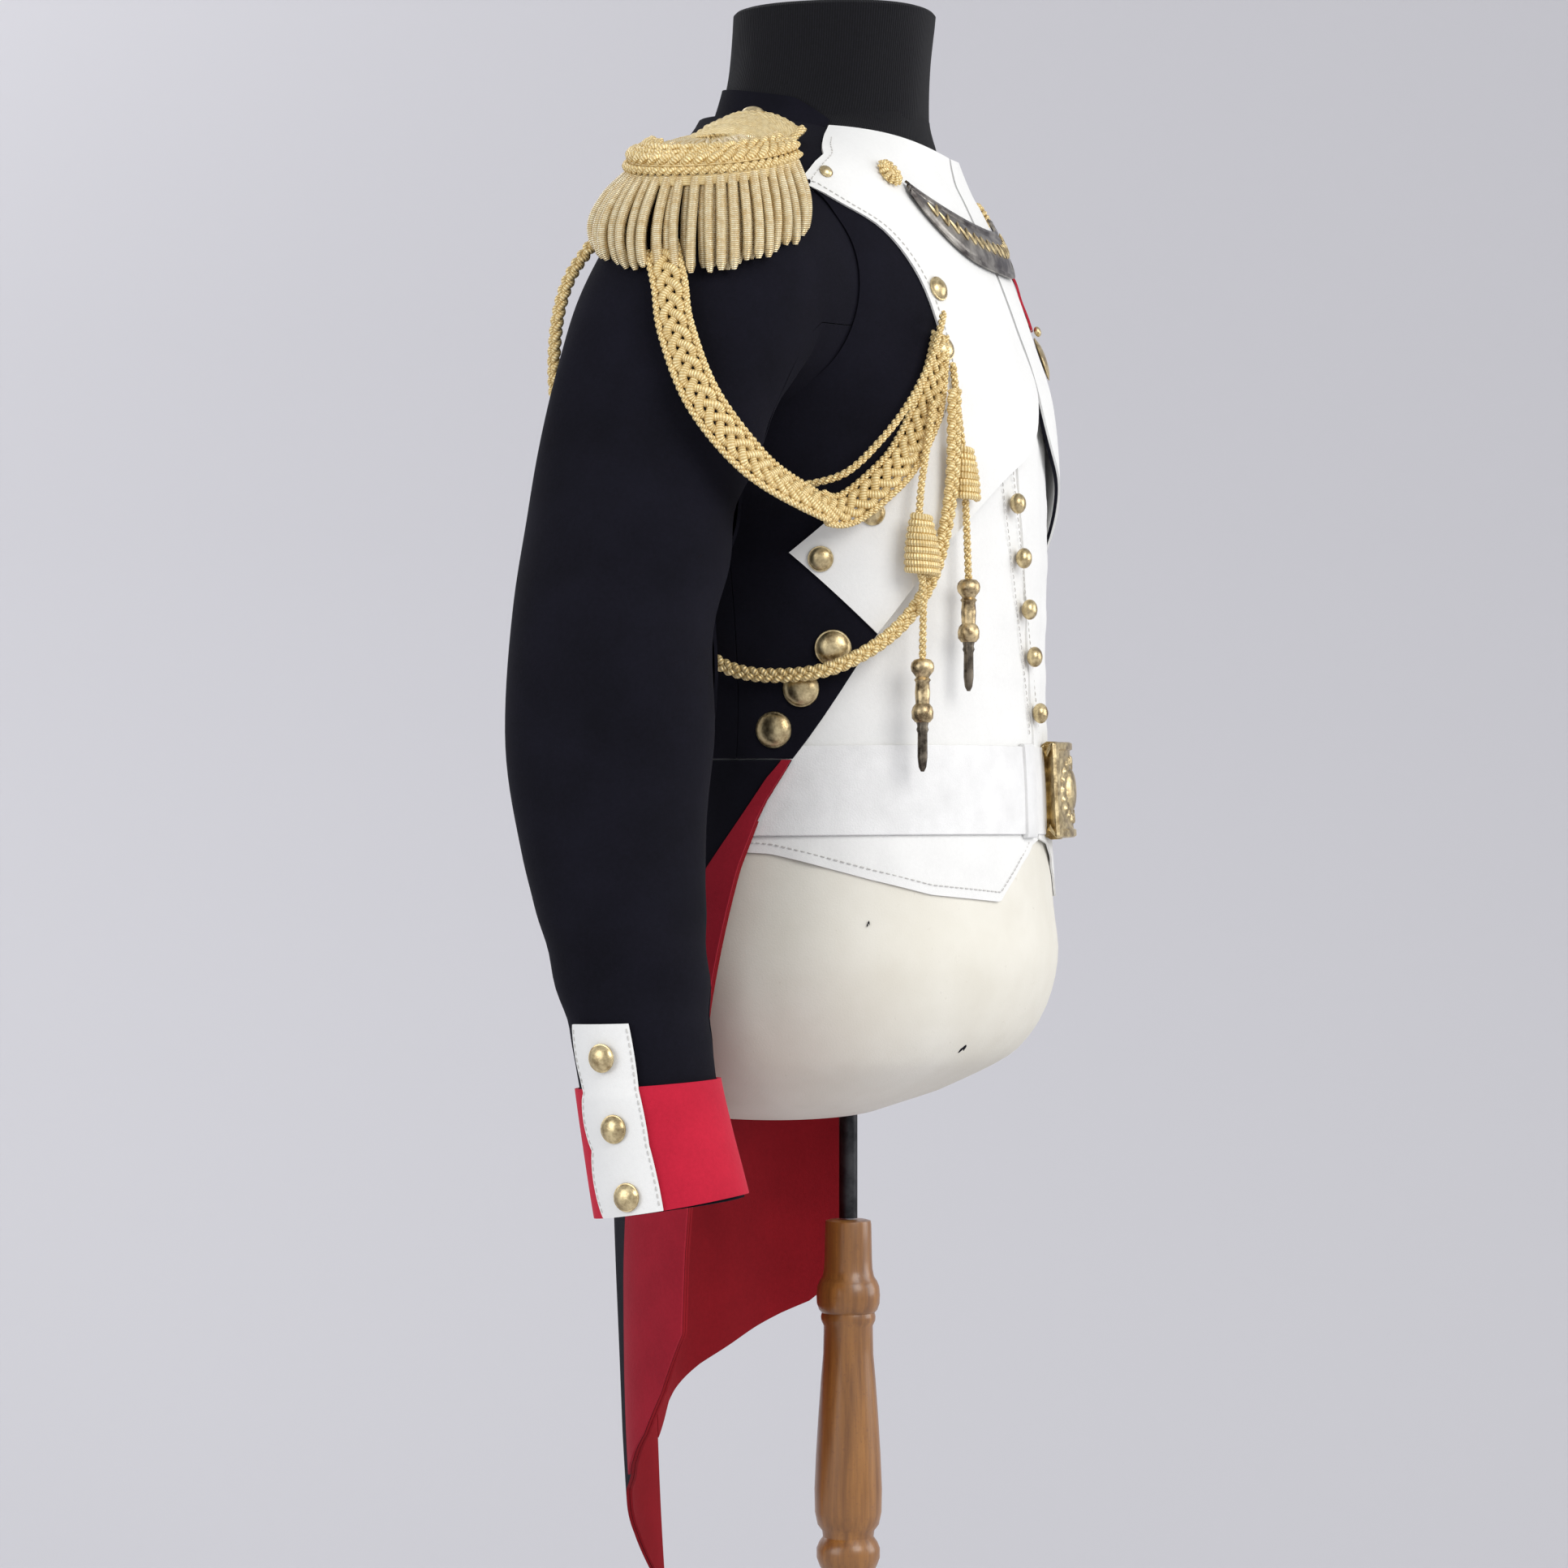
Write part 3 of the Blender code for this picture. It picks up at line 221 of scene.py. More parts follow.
def skin(curve, angle, z):
    """Points of the right half of a body, on its surface."""
    half, front, widest, back = (np.interp(z, curve[:, 0], curve[:, k]) for k in (1, 2, 3, 4))
    turn = np.radians(angle)
    ahead = signed_power(np.cos(turn), ROUNDNESS)
    reach = np.where(ahead > 0, widest - front, back - widest)
    return np.stack([-half * signed_power(np.sin(turn), ROUNDNESS), widest - reach * ahead, z + 0 * turn], axis=-1)


def lay(curve, angle, z, off, side=RIGHT):
    """Points at a distance out from a body's surface."""
    angle, z, off = np.broadcast_arrays(np.asarray(angle, float), np.asarray(z, float), np.asarray(off, float))
    point = skin(curve, angle, z)
    round_it = skin(curve, angle + 1.5, z) - skin(curve, angle - 1.5, z)
    up = skin(curve, angle, z + 0.003) - skin(curve, angle, z - 0.003)
    out = np.cross(up, round_it)
    out /= np.linalg.norm(out, axis=-1, keepdims=True) + 1e-12
    inward = out[..., 0] * point[..., 0] + out[..., 1] * (point[..., 1] - BODY_AXIS_Y) < 0
    inward = inward & (np.abs(out[..., 2]) < 0.9)
    out = np.where(inward[..., None], -out, out)
    out = np.where(((out[..., 2] < 0) & (z > SHOULDER_Z))[..., None], -out, out)
    point = point + out * off[..., None]
    return point * np.array([side, 1.0, 1.0])


def coat(angle, z, off, side=RIGHT):
    return lay(COAT_CURVE, angle, z, off, side)


def on_form(angle, z, off, side=RIGHT):
    return lay(FORM_CURVE, angle, z, off, side)


def body_angle(y, z):
    """The angle at which the coat's surface has a depth y at a height z."""
    angles = np.linspace(5.0, 175.0, 341)
    return float(np.interp(y, skin(COAT_CURVE, angles, np.full(341, z))[:, 1], angles))


def armhole_edge(z, front):
    """The angle of the front or back half of the armhole at a height."""
    y, middle, depth, high = ARMHOLE
    share = min(1.0, abs(z - middle) / (high + SEAM_GAP))
    reach = (depth + SEAM_GAP) * (1 - share**2) ** 0.5
    return body_angle(y - reach if front else y + reach, z)


def sleeve_skin(row, turn):
    """Points on the right sleeve's outside, from places along it and round it."""
    parts = [np.interp(np.maximum(row, 1.0), SLEEVE_CURVE[:, 0], SLEEVE_CURVE[:, k]) for k in range(1, 7)]
    in_x, in_z, out_x, out_z, y, depth = parts
    c, s = np.cos(np.radians(turn)), np.sin(np.radians(turn))
    x = (in_x + out_x) / 2 + (out_x - in_x) / 2 * c
    z = (in_z + out_z) / 2 + (out_z - in_z) / 2 * c
    z = z + CUFF_TILT * np.maximum(0.0, (row - 10.5) / (END_ROW - 10.5)) * (0.85 - s)
    point = np.stack([-x, y + depth * s, z], axis=-1)
    hole_y = ARMHOLE[0] + (ARMHOLE[2] + 0.0016) * s
    hole_z = ARMHOLE[1] + (ARMHOLE[3] + 0.0016) * c
    low = row < 1.0
    if np.any(low):
        start = point.copy()
        for place in zip(*np.nonzero(low)):
            angle = body_angle(hole_y[place], hole_z[place])
            start[place] = coat(angle, hole_z[place], COAT_LAYER[0])
        share = np.clip(row, 0.0, 1.0)[..., None]
        point = np.where(low[..., None], start * (1 - share) + point * share, point)
    return point


def on_sleeve(turn, row, off, side=RIGHT):
    """Points at a distance out from a sleeve."""
    turn, row, off = np.broadcast_arrays(np.asarray(turn, float), np.asarray(row, float), np.asarray(off, float))
    point = sleeve_skin(row, turn)
    ahead = sleeve_skin(row + 0.04, turn) - sleeve_skin(np.where(row > 0.05, row - 0.04, row), turn)
    round_it = sleeve_skin(row, turn + 2) - sleeve_skin(row, turn - 2)
    out = np.cross(round_it, ahead)
    out /= np.linalg.norm(out, axis=-1, keepdims=True) + 1e-12
    centre = (sleeve_skin(row, 0 * turn) + sleeve_skin(row, 0 * turn + 180)) / 2
    facing = np.sum(out * (point - centre), axis=-1, keepdims=True)
    out = np.where(facing < 0, -out, out)
    point = point + out * off[..., None]
    if side == LEFT:
        swing = np.maximum(0.0, (row - 3.5) / (END_ROW - 3.5)) ** 1.6
        point = point + np.stack([LEFT_SWING[0] * swing, LEFT_SWING[1] * swing, 0 * swing], axis=-1)
    return point * np.array([side, 1.0, 1.0])


def between(a, b, c, d, t):
    """Points at shares t of the way from b to c, on a smooth curve through four points."""
    return 0.5 * (2 * b + (c - a) * t + (2 * a - 5 * b + 4 * c - d) * t**2 + (3 * b - a - 3 * c + d) * t**3)


def run_along(line):
    """How far along a line each of its points lies."""
    return np.concatenate([[0], np.cumsum(np.linalg.norm(np.diff(line, axis=0), axis=1))])


def spline(points, count):
    """Points on a smooth curve through a route's own points, evenly spread along it."""
    points = np.array(points, float)
    ends = np.vstack([points[0] * 2 - points[1], points, points[-1] * 2 - points[-2]])
    t = (np.arange(24) / 24)[:, None]
    fine = []
    for a, b, c, d in zip(ends, ends[1:], ends[2:], ends[3:]):
        fine.append(between(a, b, c, d, t))
    fine = np.vstack([*fine, points[-1:]])
    gone = run_along(fine)
    wanted = np.linspace(0, gone[-1], count)
    return np.stack([np.interp(wanted, gone, fine[:, k]) for k in range(3)], axis=-1)


def length_of(line):
    return float(np.linalg.norm(np.diff(line, axis=0), axis=1).sum())


def resample(cut, rows, columns):
    """A finer cut from a coarse one, by straight runs between its places."""
    cut = np.array(cut, float)
    old_rows, old_columns = np.arange(cut.shape[0]), np.arange(cut.shape[1])
    new_rows, new_columns = np.linspace(0, old_rows[-1], rows), np.linspace(0, old_columns[-1], columns)
    wide = np.stack([[np.interp(new_columns, old_columns, row[:, k]) for row in cut] for k in (0, 1)], axis=-1)
    return np.stack(
        [np.stack([np.interp(new_rows, old_rows, wide[:, j, k]) for j in range(columns)], axis=1) for k in (0, 1)],
        axis=-1,
    )


def rounded(cut, first, last, steps=5):
    """A cut with more rows between two of its rows, on smooth curves through the rows between them."""
    cut = np.array(cut, float)
    part = cut[first : last + 1]
    ends = np.concatenate([part[:1] * 2 - part[1:2], part, part[-1:] * 2 - part[-2:-1]])
    fine = []
    for a, b, c, d in zip(ends, ends[1:], ends[2:], ends[3:]):
        for t in np.arange(steps) / steps:
            fine.append(between(a, b, c, d, t))
    return np.concatenate([cut[:first], np.array(fine), cut[last:]])


def waves(angle, z, seed, scale=1.0):
    """A soft uneven field from -1 to 1 over a body, the same for every layer on it."""
    rng = np.random.default_rng(seed)
    total = 0.0
    for _ in range(6):
        a, b, phase = rng.uniform(0.02, 0.09), rng.uniform(12, 42), rng.uniform(0, 2 * pi)
        total = total + np.sin(scale * (a * angle + b * z * rng.choice((-1, 1))) + phase)
    return total / 6


# ---- making pieces ----
def settle(piece, finish):
    """Give a piece its material, shading and place in the frame."""
    piece.data.materials.clear()
    piece.data.materials.append(finish)
    piece.data.shade_smooth()
    piece.data.set_sharp_from_angle(angle=radians(SHARP_TURN))
    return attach(piece, "root")


def apply_modifiers(piece):
    bpy.ops.object.select_all(action="DESELECT")
    piece.select_set(True)
    bpy.context.view_layer.objects.active = piece
    for modifier in list(piece.modifiers):
        bpy.ops.object.modifier_apply(modifier=modifier.name)


def grid(name, points, uv=None):
    """A grid primitive with its corners placed, and its texture map in metres along its rows and columns."""
    rows, columns = points.shape[:2]
    bpy.ops.object.select_all(action="DESELECT")
    bpy.ops.mesh.primitive_grid_add(x_subdivisions=columns - 1, y_subdivisions=rows - 1, size=1.0)
    piece = bpy.context.object
    piece.name = piece.data.name = name
    piece.data.vertices.foreach_set("co", points.reshape(-1))
    if uv is None:
        middle_row, middle_column = points[rows // 2], points[:, columns // 2]
        u = run_along(middle_row)
        v = run_along(middle_column)
        uv = np.stack(np.meshgrid(u, v), axis=-1)
    flat = uv.reshape(-1, 2)
    loops = np.empty(len(piece.data.loops), int)
    piece.data.loops.foreach_get("vertex_index", loops)
    piece.data.uv_layers[0].data.foreach_set("uv", flat[loops].reshape(-1))
    piece.data.update()
    return piece


def face_out(piece):
    bm = bmesh.new()
    bm.from_mesh(piece.data)
    bmesh.ops.recalc_face_normals(bm, faces=bm.faces)
    if bm.calc_volume(signed=True) < 0:
        bmesh.ops.reverse_faces(bm, faces=bm.faces)
    bm.to_mesh(piece.data)
    bm.free()


def cloth(
    name, outer, inner, finish, slot, closed=False, uv=None, held=None, rests_on=(), edges=None, inside=None
):
    """A cloth wall from a grid of points on its outside, as thick as the way in to its inside.

    How a sheet is held is not used.
    Its cut edges below the waist seam may have a finish of their own, or its inside may.
    """
    piece = grid(name, outer, uv)
    if closed:
        weld(piece)
    inward = outer - inner
    middle = tuple(size // 2 for size in outer.shape[:2])
    over = outer[middle[0], middle[1] + 1] - outer[middle]
    down = outer[middle[0] + 1, middle[1]] - outer[middle]
    if np.dot(np.cross(over, down), inward[middle]) < 0:
        piece.data.flip_normals()
    modifier = piece.modifiers.new("wall", "SOLIDIFY")
    modifier.thickness = float(np.linalg.norm(inward, axis=-1).mean())
    modifier.offset = -1.0
    apply_modifiers(piece)
    settle(piece, finish)
    if edges or inside:
        piece.data.materials.append(edges or inside)
        wall = (outer.shape[0] - 1) * (outer.shape[1] - 1)
        faces = piece.data.polygons
        for face in faces[2 * wall :] if edges else faces[wall : 2 * wall]:
            face.material_index = 0 if edges and face.center.z > WAIST_Z - WAIST_RIM else 1
    if held:
        over, down = outer[:-1, 1:] - outer[:-1, :-1], outer[1:, :-1] - outer[:-1, :-1]
    return piece


def panel(name, cut, layer, side, finish, slot, place=coat, folds=None, **kept):
    """A cloth panel from its fine cut, laid in a layer, with folds added to its distance out."""
    lift = 0.0 if folds is None else folds(cut[..., 0], cut[..., 1])
    outer = place(cut[..., 0], cut[..., 1], layer[1] + lift, side)
    inner = place(cut[..., 0], cut[..., 1], layer[0] + lift, side)
    return cloth(name, outer, inner, finish, slot, **kept)


def tube(name, rings, finish, uv=None):
    """A closed tube through rings of points, each listed once round."""
    rings = np.concatenate([rings, rings[:, :1]], axis=1)
    if uv is None:
        u = np.linspace(0, 1, rings.shape[1])
        v = run_along(rings.mean(axis=1))
        uv = np.stack(np.meshgrid(u, v), axis=-1)
    first, last = (
        np.repeat(end[:, :-1].mean(axis=1, keepdims=True), end.shape[1], axis=1) for end in (rings[:1], rings[-1:])
    )
    rings = np.concatenate([first, rings, last], axis=0)
    uv = np.concatenate([uv[:1], uv, uv[-1:]], axis=0)
    piece = grid(name, rings, uv)
    weld(piece)
    face_out(piece)
    return settle(piece, finish)


def weld(piece, distance=2e-6):
    modifier = piece.modifiers.new("weld", "WELD")
    modifier.merge_threshold = distance
    apply_modifiers(piece)


def lathe(name, profile, finish, centre=(0.0, 0.0), sides=48):
    """A turned solid from radii and heights, listed from its top down."""
    profile = np.array(profile, float)
    turns = np.linspace(0, 2 * pi, sides, endpoint=False)
    rings = np.stack(
        [
            centre[0] + profile[:, :1] * np.cos(turns),
            centre[1] + profile[:, :1] * np.sin(turns),
            np.repeat(profile[:, 1:], sides, axis=1),
        ],
        axis=-1,
    )
    return tube(name, rings, finish)


def frames_along(line, outward=None):
    """The directions ahead, out and across along a line; out turns as little as it can, or faces outward."""
    ahead = np.gradient(line, axis=0)
    ahead /= np.linalg.norm(ahead, axis=1, keepdims=True)
    out = np.empty_like(line)
    last = np.array([0.3, -1.0, 0.25])
    for i, step in enumerate(ahead):
        wanted = last if outward is None else np.array(outward(line[i]), float)
        wanted = wanted - step * wanted.dot(step)
        out[i] = wanted / np.linalg.norm(wanted)
        last = out[i]
    return ahead, out, np.cross(ahead, out)


def strand_rings(line, radius, sides=8):
    """Rings of points round a line; radius may differ along it."""
    _, out, over = frames_along(line)
    radius = np.broadcast_to(radius, len(line))[:, None, None]
    turns = np.linspace(0, 2 * pi, sides, endpoint=False)
    flat = np.cos(turns)[None, :, None] * over[:, None] + np.sin(turns)[None, :, None] * out[:, None]
    return line[:, None] + flat * radius


def strand_points(line, radius, sides=8):
    """A closed strand's corners and its texture map, as a grid that welds into a tube with ends."""
    rings = strand_rings(line, radius, sides)
    rings = np.concatenate([rings, rings[:, :1]], axis=1)
    v = run_along(line)
    uv = np.stack(np.meshgrid(np.linspace(0, 1, sides + 1), v), axis=-1)
    caps = [np.repeat(line[k].reshape(1, 1, 3), sides + 1, axis=1) for k in (0, -1)]
    return np.concatenate([caps[0], rings, caps[1]], axis=0), np.concatenate([uv[:1], uv, uv[-1:]], axis=0)


def bundle(name, strands, finish):
    """Many closed strands of the same count of points as one piece."""
    grids = [strand_points(*strand) for strand in strands]
    rows = sum(len(points) for points, _ in grids)
    columns = grids[0][0].shape[1]
    points = np.concatenate([points for points, _ in grids], axis=0)
    uv = np.concatenate([uv for _, uv in grids], axis=0)
    piece = grid(name, points.reshape(rows, columns, 3), uv)
    cut_between(piece, [len(points) for points, _ in grids], columns)
    weld(piece)
    face_out(piece)
    return settle(piece, finish)


def cut_between(piece, heights, columns):
    """Take out the row of faces that joins each strand of a bundle to the next."""
    bm = bmesh.new()
    bm.from_mesh(piece.data)
    bm.faces.ensure_lookup_table()
    gone, row = [], 0
    for height in heights[:-1]:
        row += height
        gone += [bm.faces[(row - 1) * (columns - 1) + k] for k in range(columns - 1)]
    bmesh.ops.delete(bm, geom=gone, context="FACES_ONLY")
    bm.to_mesh(piece.data)
    bm.free()


def helix(line, outward, radius, turns_per_metre, phase, flat=1.0):
    """A line wound round another, at a radius, with its windings flattened towards outward."""
    _, out, over = frames_along(line, outward)
    gone = run_along(line)
    turn = 2 * pi * turns_per_metre * gone + phase
    return line + (over * np.cos(turn)[:, None] + out * np.sin(turn)[:, None] * flat) * radius


def plait(line, outward, half_width, pitch, phase, lift):
    """One strand of a three-strand plait along a line."""
    _, out, over = frames_along(line, outward)
    gone = run_along(line)
    turn = 2 * pi * gone / pitch + phase
    wide = np.broadcast_to(half_width, len(line))[:, None]
    return line + over * np.sin(turn)[:, None] * wide + out * (np.sin(2 * turn) * lift)[:, None]


def dome(name, seat, out, radius, high, finish, ball=False):
    """A turned button on a seat, facing out: domed with a rim, or a ball."""
    seat, out = np.array(seat, float), np.array(out, float)
    out = out / np.linalg.norm(out)
    side = np.cross(out, (0, 0, 1.0) if abs(out[2]) < 0.9 else (0, 1.0, 0))
    side /= np.linalg.norm(side)
    up = np.cross(side, out)
    if ball:
        arcs = np.radians(np.linspace(-80, 90, 10))
        profile = [(max(cos(a), 0.0) * radius, high / 2 + sin(a) * high / 2) for a in arcs]
    else:
        profile = [(0.55, 0.0), (0.96, 0.08), (1.0, 0.22), (0.97, 0.34), (0.90, 0.36), (0.86, 0.46)]
        profile += [(0.74, 0.66), (0.55, 0.84), (0.32, 0.96), (0.12, 1.0)]
        profile = [(r * radius, h * high) for r, h in profile]
    turns = np.linspace(0, 2 * pi, 24, endpoint=False)
    rings = np.array(
        [[seat + out * h + (side * cos(t) + up * sin(t)) * r for t in turns] for r, h in profile]
    )
    return tube(name, rings, finish)


# ---- materials ----
def tree_node(tree, kind, inputs=None, **settings):
    """A node with its settings, and its inputs as constants or links."""
    made = tree.nodes.new(kind)
    for key, value in settings.items():
        setattr(made, key, value)
    for key, value in (inputs or {}).items():
        if isinstance(value, bpy.types.NodeSocket):
            tree.links.new(value, made.inputs[key])
        else:
            made.inputs[key].default_value = value
    return made


def mixed(tree, share, low, high):
    """A colour between two, each of them a constant or a socket."""
    made = tree_node(tree, "ShaderNodeMix", data_type="RGBA")
    for index, value in ((0, share), (6, low), (7, high)):
        if isinstance(value, bpy.types.NodeSocket):
            tree.links.new(value, made.inputs[index])
        else:
            made.inputs[index].default_value = value if index == 0 else (*value[:3], 1.0)
    return made.outputs[2]


def ramped(tree, value, low, high):
    """A value taken from a range to 0..1."""
    made = tree_node(tree, "ShaderNodeMapRange", {"Value": value, "From Min": low, "From Max": high})
    return made.outputs["Result"]


def worked(tree, operation, first, second=0.0):
    return tree_node(tree, "ShaderNodeMath", {0: first, 1: second}, operation=operation).outputs[0]


def noise(tree, place, scale, detail=2.0, roughness=0.5):
    inputs = {"Vector": place, "Scale": scale, "Detail": detail, "Roughness": roughness}
    return tree_node(tree, "ShaderNodeTexNoise", inputs).outputs["Fac"]


def start_material(name):
    """A material with its shader and its two places: object coordinates and the texture map."""
    made = bpy.data.materials.new(name)
    made.use_nodes = True
    tree = made.node_tree
    shader = tree.nodes["Principled BSDF"]
    place = tree_node(tree, "ShaderNodeTexCoord")
    return made, tree, shader, place.outputs["Object"], place.outputs["UV"]


def bump(tree, shader, height, strength, distance):
    inputs = {"Height": height, "Strength": strength, "Distance": distance}
    made = tree_node(tree, "ShaderNodeBump", inputs)
    tree.links.new(made.outputs["Normal"], shader.inputs["Normal"])


def nap_group():
    """The fibres and soft unevenness of fulled cloth, as one height and one shade."""
    found = bpy.data.node_groups.get("cloth nap")
    if found:
        return found
    group = bpy.data.node_groups.new("cloth nap", "ShaderNodeTree")
    group.interface.new_socket("Place", in_out="INPUT", socket_type="NodeSocketVector")
    group.interface.new_socket("Height", in_out="OUTPUT", socket_type="NodeSocketFloat")
    group.interface.new_socket("Shade", in_out="OUTPUT", socket_type="NodeSocketFloat")
    entry, leave = group.nodes.new("NodeGroupInput"), group.nodes.new("NodeGroupOutput")
    place = entry.outputs["Place"]
    fine = noise(group, place, 1900.0, 3.0, 0.65)
    felt = noise(group, place, 420.0, 3.0, 0.6)
    broad = noise(group, place, 22.0, 3.0, 0.55)
    height = worked(group, "ADD", worked(group, "MULTIPLY", fine, 0.6), worked(group, "MULTIPLY", felt, 0.7))
    group.links.new(height, leave.inputs["Height"])
    shade = worked(group, "ADD", worked(group, "MULTIPLY", felt, 0.35), worked(group, "MULTIPLY", broad, 0.65))
    group.links.new(shade, leave.inputs["Shade"])
    return group


def wool(name, colour, sheen=0.25, depth=0.35, tint=None):
    """Fulled wool cloth: matt, with a short nap and a soft unevenness of shade."""
    made, tree, shader, place, _ = start_material(name)
    nap = tree_node(tree, "ShaderNodeGroup", node_tree=nap_group())
    tree.links.new(place, nap.inputs["Place"])
    share = ramped(tree, nap.outputs["Shade"], 0.32, 0.68)
    dark = tuple(c * (1 - depth) for c in colour)
    tree.links.new(mixed(tree, share, dark, colour), shader.inputs["Base Color"])
    shader.inputs["Roughness"].default_value = 0.92
    shader.inputs["Specular IOR Level"].default_value = 0.12
    shader.inputs["Sheen Weight"].default_value = sheen
    shader.inputs["Sheen Roughness"].default_value = 0.45
    shader.inputs["Sheen Tint"].default_value = (*(tint or colour), 1.0)
    bump(tree, shader, nap.outputs["Height"], 0.35, 0.0006)
    return made


def metal(name, colour, dark, roughness=0.32, grain=90.0):
    """Metal with a worn, uneven surface."""
    made, tree, shader, place, _ = start_material(name)
    wear = noise(tree, place, grain, 5.0, 0.65)
    tree.links.new(mixed(tree, ramped(tree, wear, 0.36, 0.62), dark, colour), shader.inputs["Base Color"])
    rough = worked(tree, "MULTIPLY_ADD", wear, 0.35)
    rough.node.inputs[2].default_value = roughness - 0.12
    tree.links.new(rough, shader.inputs["Roughness"])
    shader.inputs["Metallic"].default_value = 1.0
    bump(tree, shader, noise(tree, place, grain * 4, 3.0), 0.25, 0.0004)
    return made


def thread(name, colour, dark, per_metre=900.0, around=1.0, metallic=0.75, roughness=0.42):
    """Metal thread wound or laid over a core: fine turns along the texture map's length, their colour painted darker
    between the turns as painted shade and lighter on their crests as painted highlight.
    """
    made, tree, shader, place, chart = start_material(name)
    parts = tree_node(tree, "ShaderNodeSeparateXYZ", {0: chart})
    run = worked(tree, "MULTIPLY", parts.outputs["Y"], per_metre)
    turn = worked(tree, "ADD", run, worked(tree, "MULTIPLY", parts.outputs["X"], around))
    band = worked(tree, "SINE", worked(tree, "MULTIPLY", turn, 2 * pi))
    share = ramped(tree, band, -1.0, 0.7)
    uneven = noise(tree, place, 260.0, 3.0)
    share = worked(tree, "MULTIPLY", share, ramped(tree, uneven, 0.15, 0.6))
    # painted light: the colour runs from dark in the grooves between the turns (painted shade) to bright on their
    # crests (painted highlight), varied at random by uneven
    tree.links.new(mixed(tree, share, dark, colour), shader.inputs["Base Color"])
    shader.inputs["Metallic"].default_value = metallic
    shader.inputs["Roughness"].default_value = roughness
    shader.inputs["Specular IOR Level"].default_value = 0.6
    bump(tree, shader, band, 0.55, 0.0005)
    return made


def linen():
    """The form's cover: pale, stretched and lightly marked, with a few ink dots."""
    made, tree, shader, place, _ = start_material("form linen")
    broad = noise(tree, place, 9.0, 4.0, 0.6)
    shade = mixed(tree, ramped(tree, broad, 0.35, 0.7), (0.70, 0.67, 0.58), (0.80, 0.78, 0.70))
    specks = noise(tree, place, 150.0, 4.0, 0.7)
    shade = mixed(tree, worked(tree, "MULTIPLY", ramped(tree, specks, 0.66, 0.78), 0.35), shade, (0.40, 0.35, 0.27))
    tree.links.new(shade, shader.inputs["Base Color"])
    shader.inputs["Roughness"].default_value = 0.62
    shader.inputs["Specular IOR Level"].default_value = 0.35
    weave = worked(tree, "ADD", noise(tree, place, 900.0, 2.0), noise(tree, place, 60.0, 2.0))
    bump(tree, shader, weave, 0.18, 0.0006)
    return made


def varnished_wood():
    """Turned beech under honey-brown varnish, its grain running up the column."""
    made, tree, shader, place, _ = start_material("varnished wood")
    long_way = tree_node(tree, "ShaderNodeMapping", {"Vector": place, "Scale": (1.0, 1.0, 0.045)})
    grain = noise(tree, long_way.outputs[0], 190.0, 6.0, 0.62)
    broad = noise(tree, long_way.outputs[0], 32.0, 3.0, 0.5)
    flecks = noise(tree, place, 480.0, 2.0, 0.6)
    tone = worked(tree, "ADD", worked(tree, "MULTIPLY", grain, 0.6), worked(tree, "MULTIPLY", broad, 0.4))
    shade = mixed(tree, ramped(tree, tone, 0.36, 0.64), (0.165, 0.062, 0.012), (0.37, 0.160, 0.032))
    shade = mixed(tree, worked(tree, "MULTIPLY", ramped(tree, flecks, 0.58, 0.75), 0.45), shade, (0.16, 0.06, 0.02))
    tree.links.new(shade, shader.inputs["Base Color"])
    shader.inputs["Roughness"].default_value = 0.42
    shader.inputs["Coat Weight"].default_value = 0.55
    shader.inputs["Coat Roughness"].default_value = 0.22
    bump(tree, shader, tone, 0.12, 0.0008)
    return made


def ribbed(name, colour, dark, per_metre=1100.0, roughness=0.7, sheen=0.2):
    """Knitted or ribbed cloth, its ribs across the texture map's width, with painted shade in the valleys between the
    ribs.
    """
    made, tree, shader, place, chart = start_material(name)
    parts = tree_node(tree, "ShaderNodeSeparateXYZ", {0: chart})
    ribs = worked(tree, "SINE", worked(tree, "MULTIPLY", parts.outputs["X"], per_metre * 2 * pi))
    uneven = noise(tree, place, 700.0, 3.0)
    share = worked(tree, "MULTIPLY", ramped(tree, ribs, -1.0, 1.0), ramped(tree, uneven, 0.2, 0.6))
    # painted shade: the colour goes dark in the valleys between the ribs and light on the ribs, varied at random by
    # uneven
    tree.links.new(mixed(tree, share, dark, colour), shader.inputs["Base Color"])
    shader.inputs["Roughness"].default_value = roughness
    shader.inputs["Sheen Weight"].default_value = sheen
    shader.inputs["Specular IOR Level"].default_value = 0.2
    bump(tree, shader, worked(tree, "ADD", ribs, uneven), 0.4, 0.0005)
    return made


def leather(name, colour, dark):
    """Whitened leather: a fine grain under a chalky dressing."""
    made, tree, shader, place, _ = start_material(name)
    cells = tree_node(tree, "ShaderNodeTexVoronoi", {"Vector": place, "Scale": 900.0}).outputs["Distance"]
    rub = noise(tree, place, 35.0, 4.0, 0.6)
    tree.links.new(mixed(tree, ramped(tree, rub, 0.3, 0.7), dark, colour), shader.inputs["Base Color"])
    shader.inputs["Roughness"].default_value = 0.55
    shader.inputs["Specular IOR Level"].default_value = 0.3
    bump(tree, shader, cells, 0.25, 0.0004)
    return made


FINISHES = {}


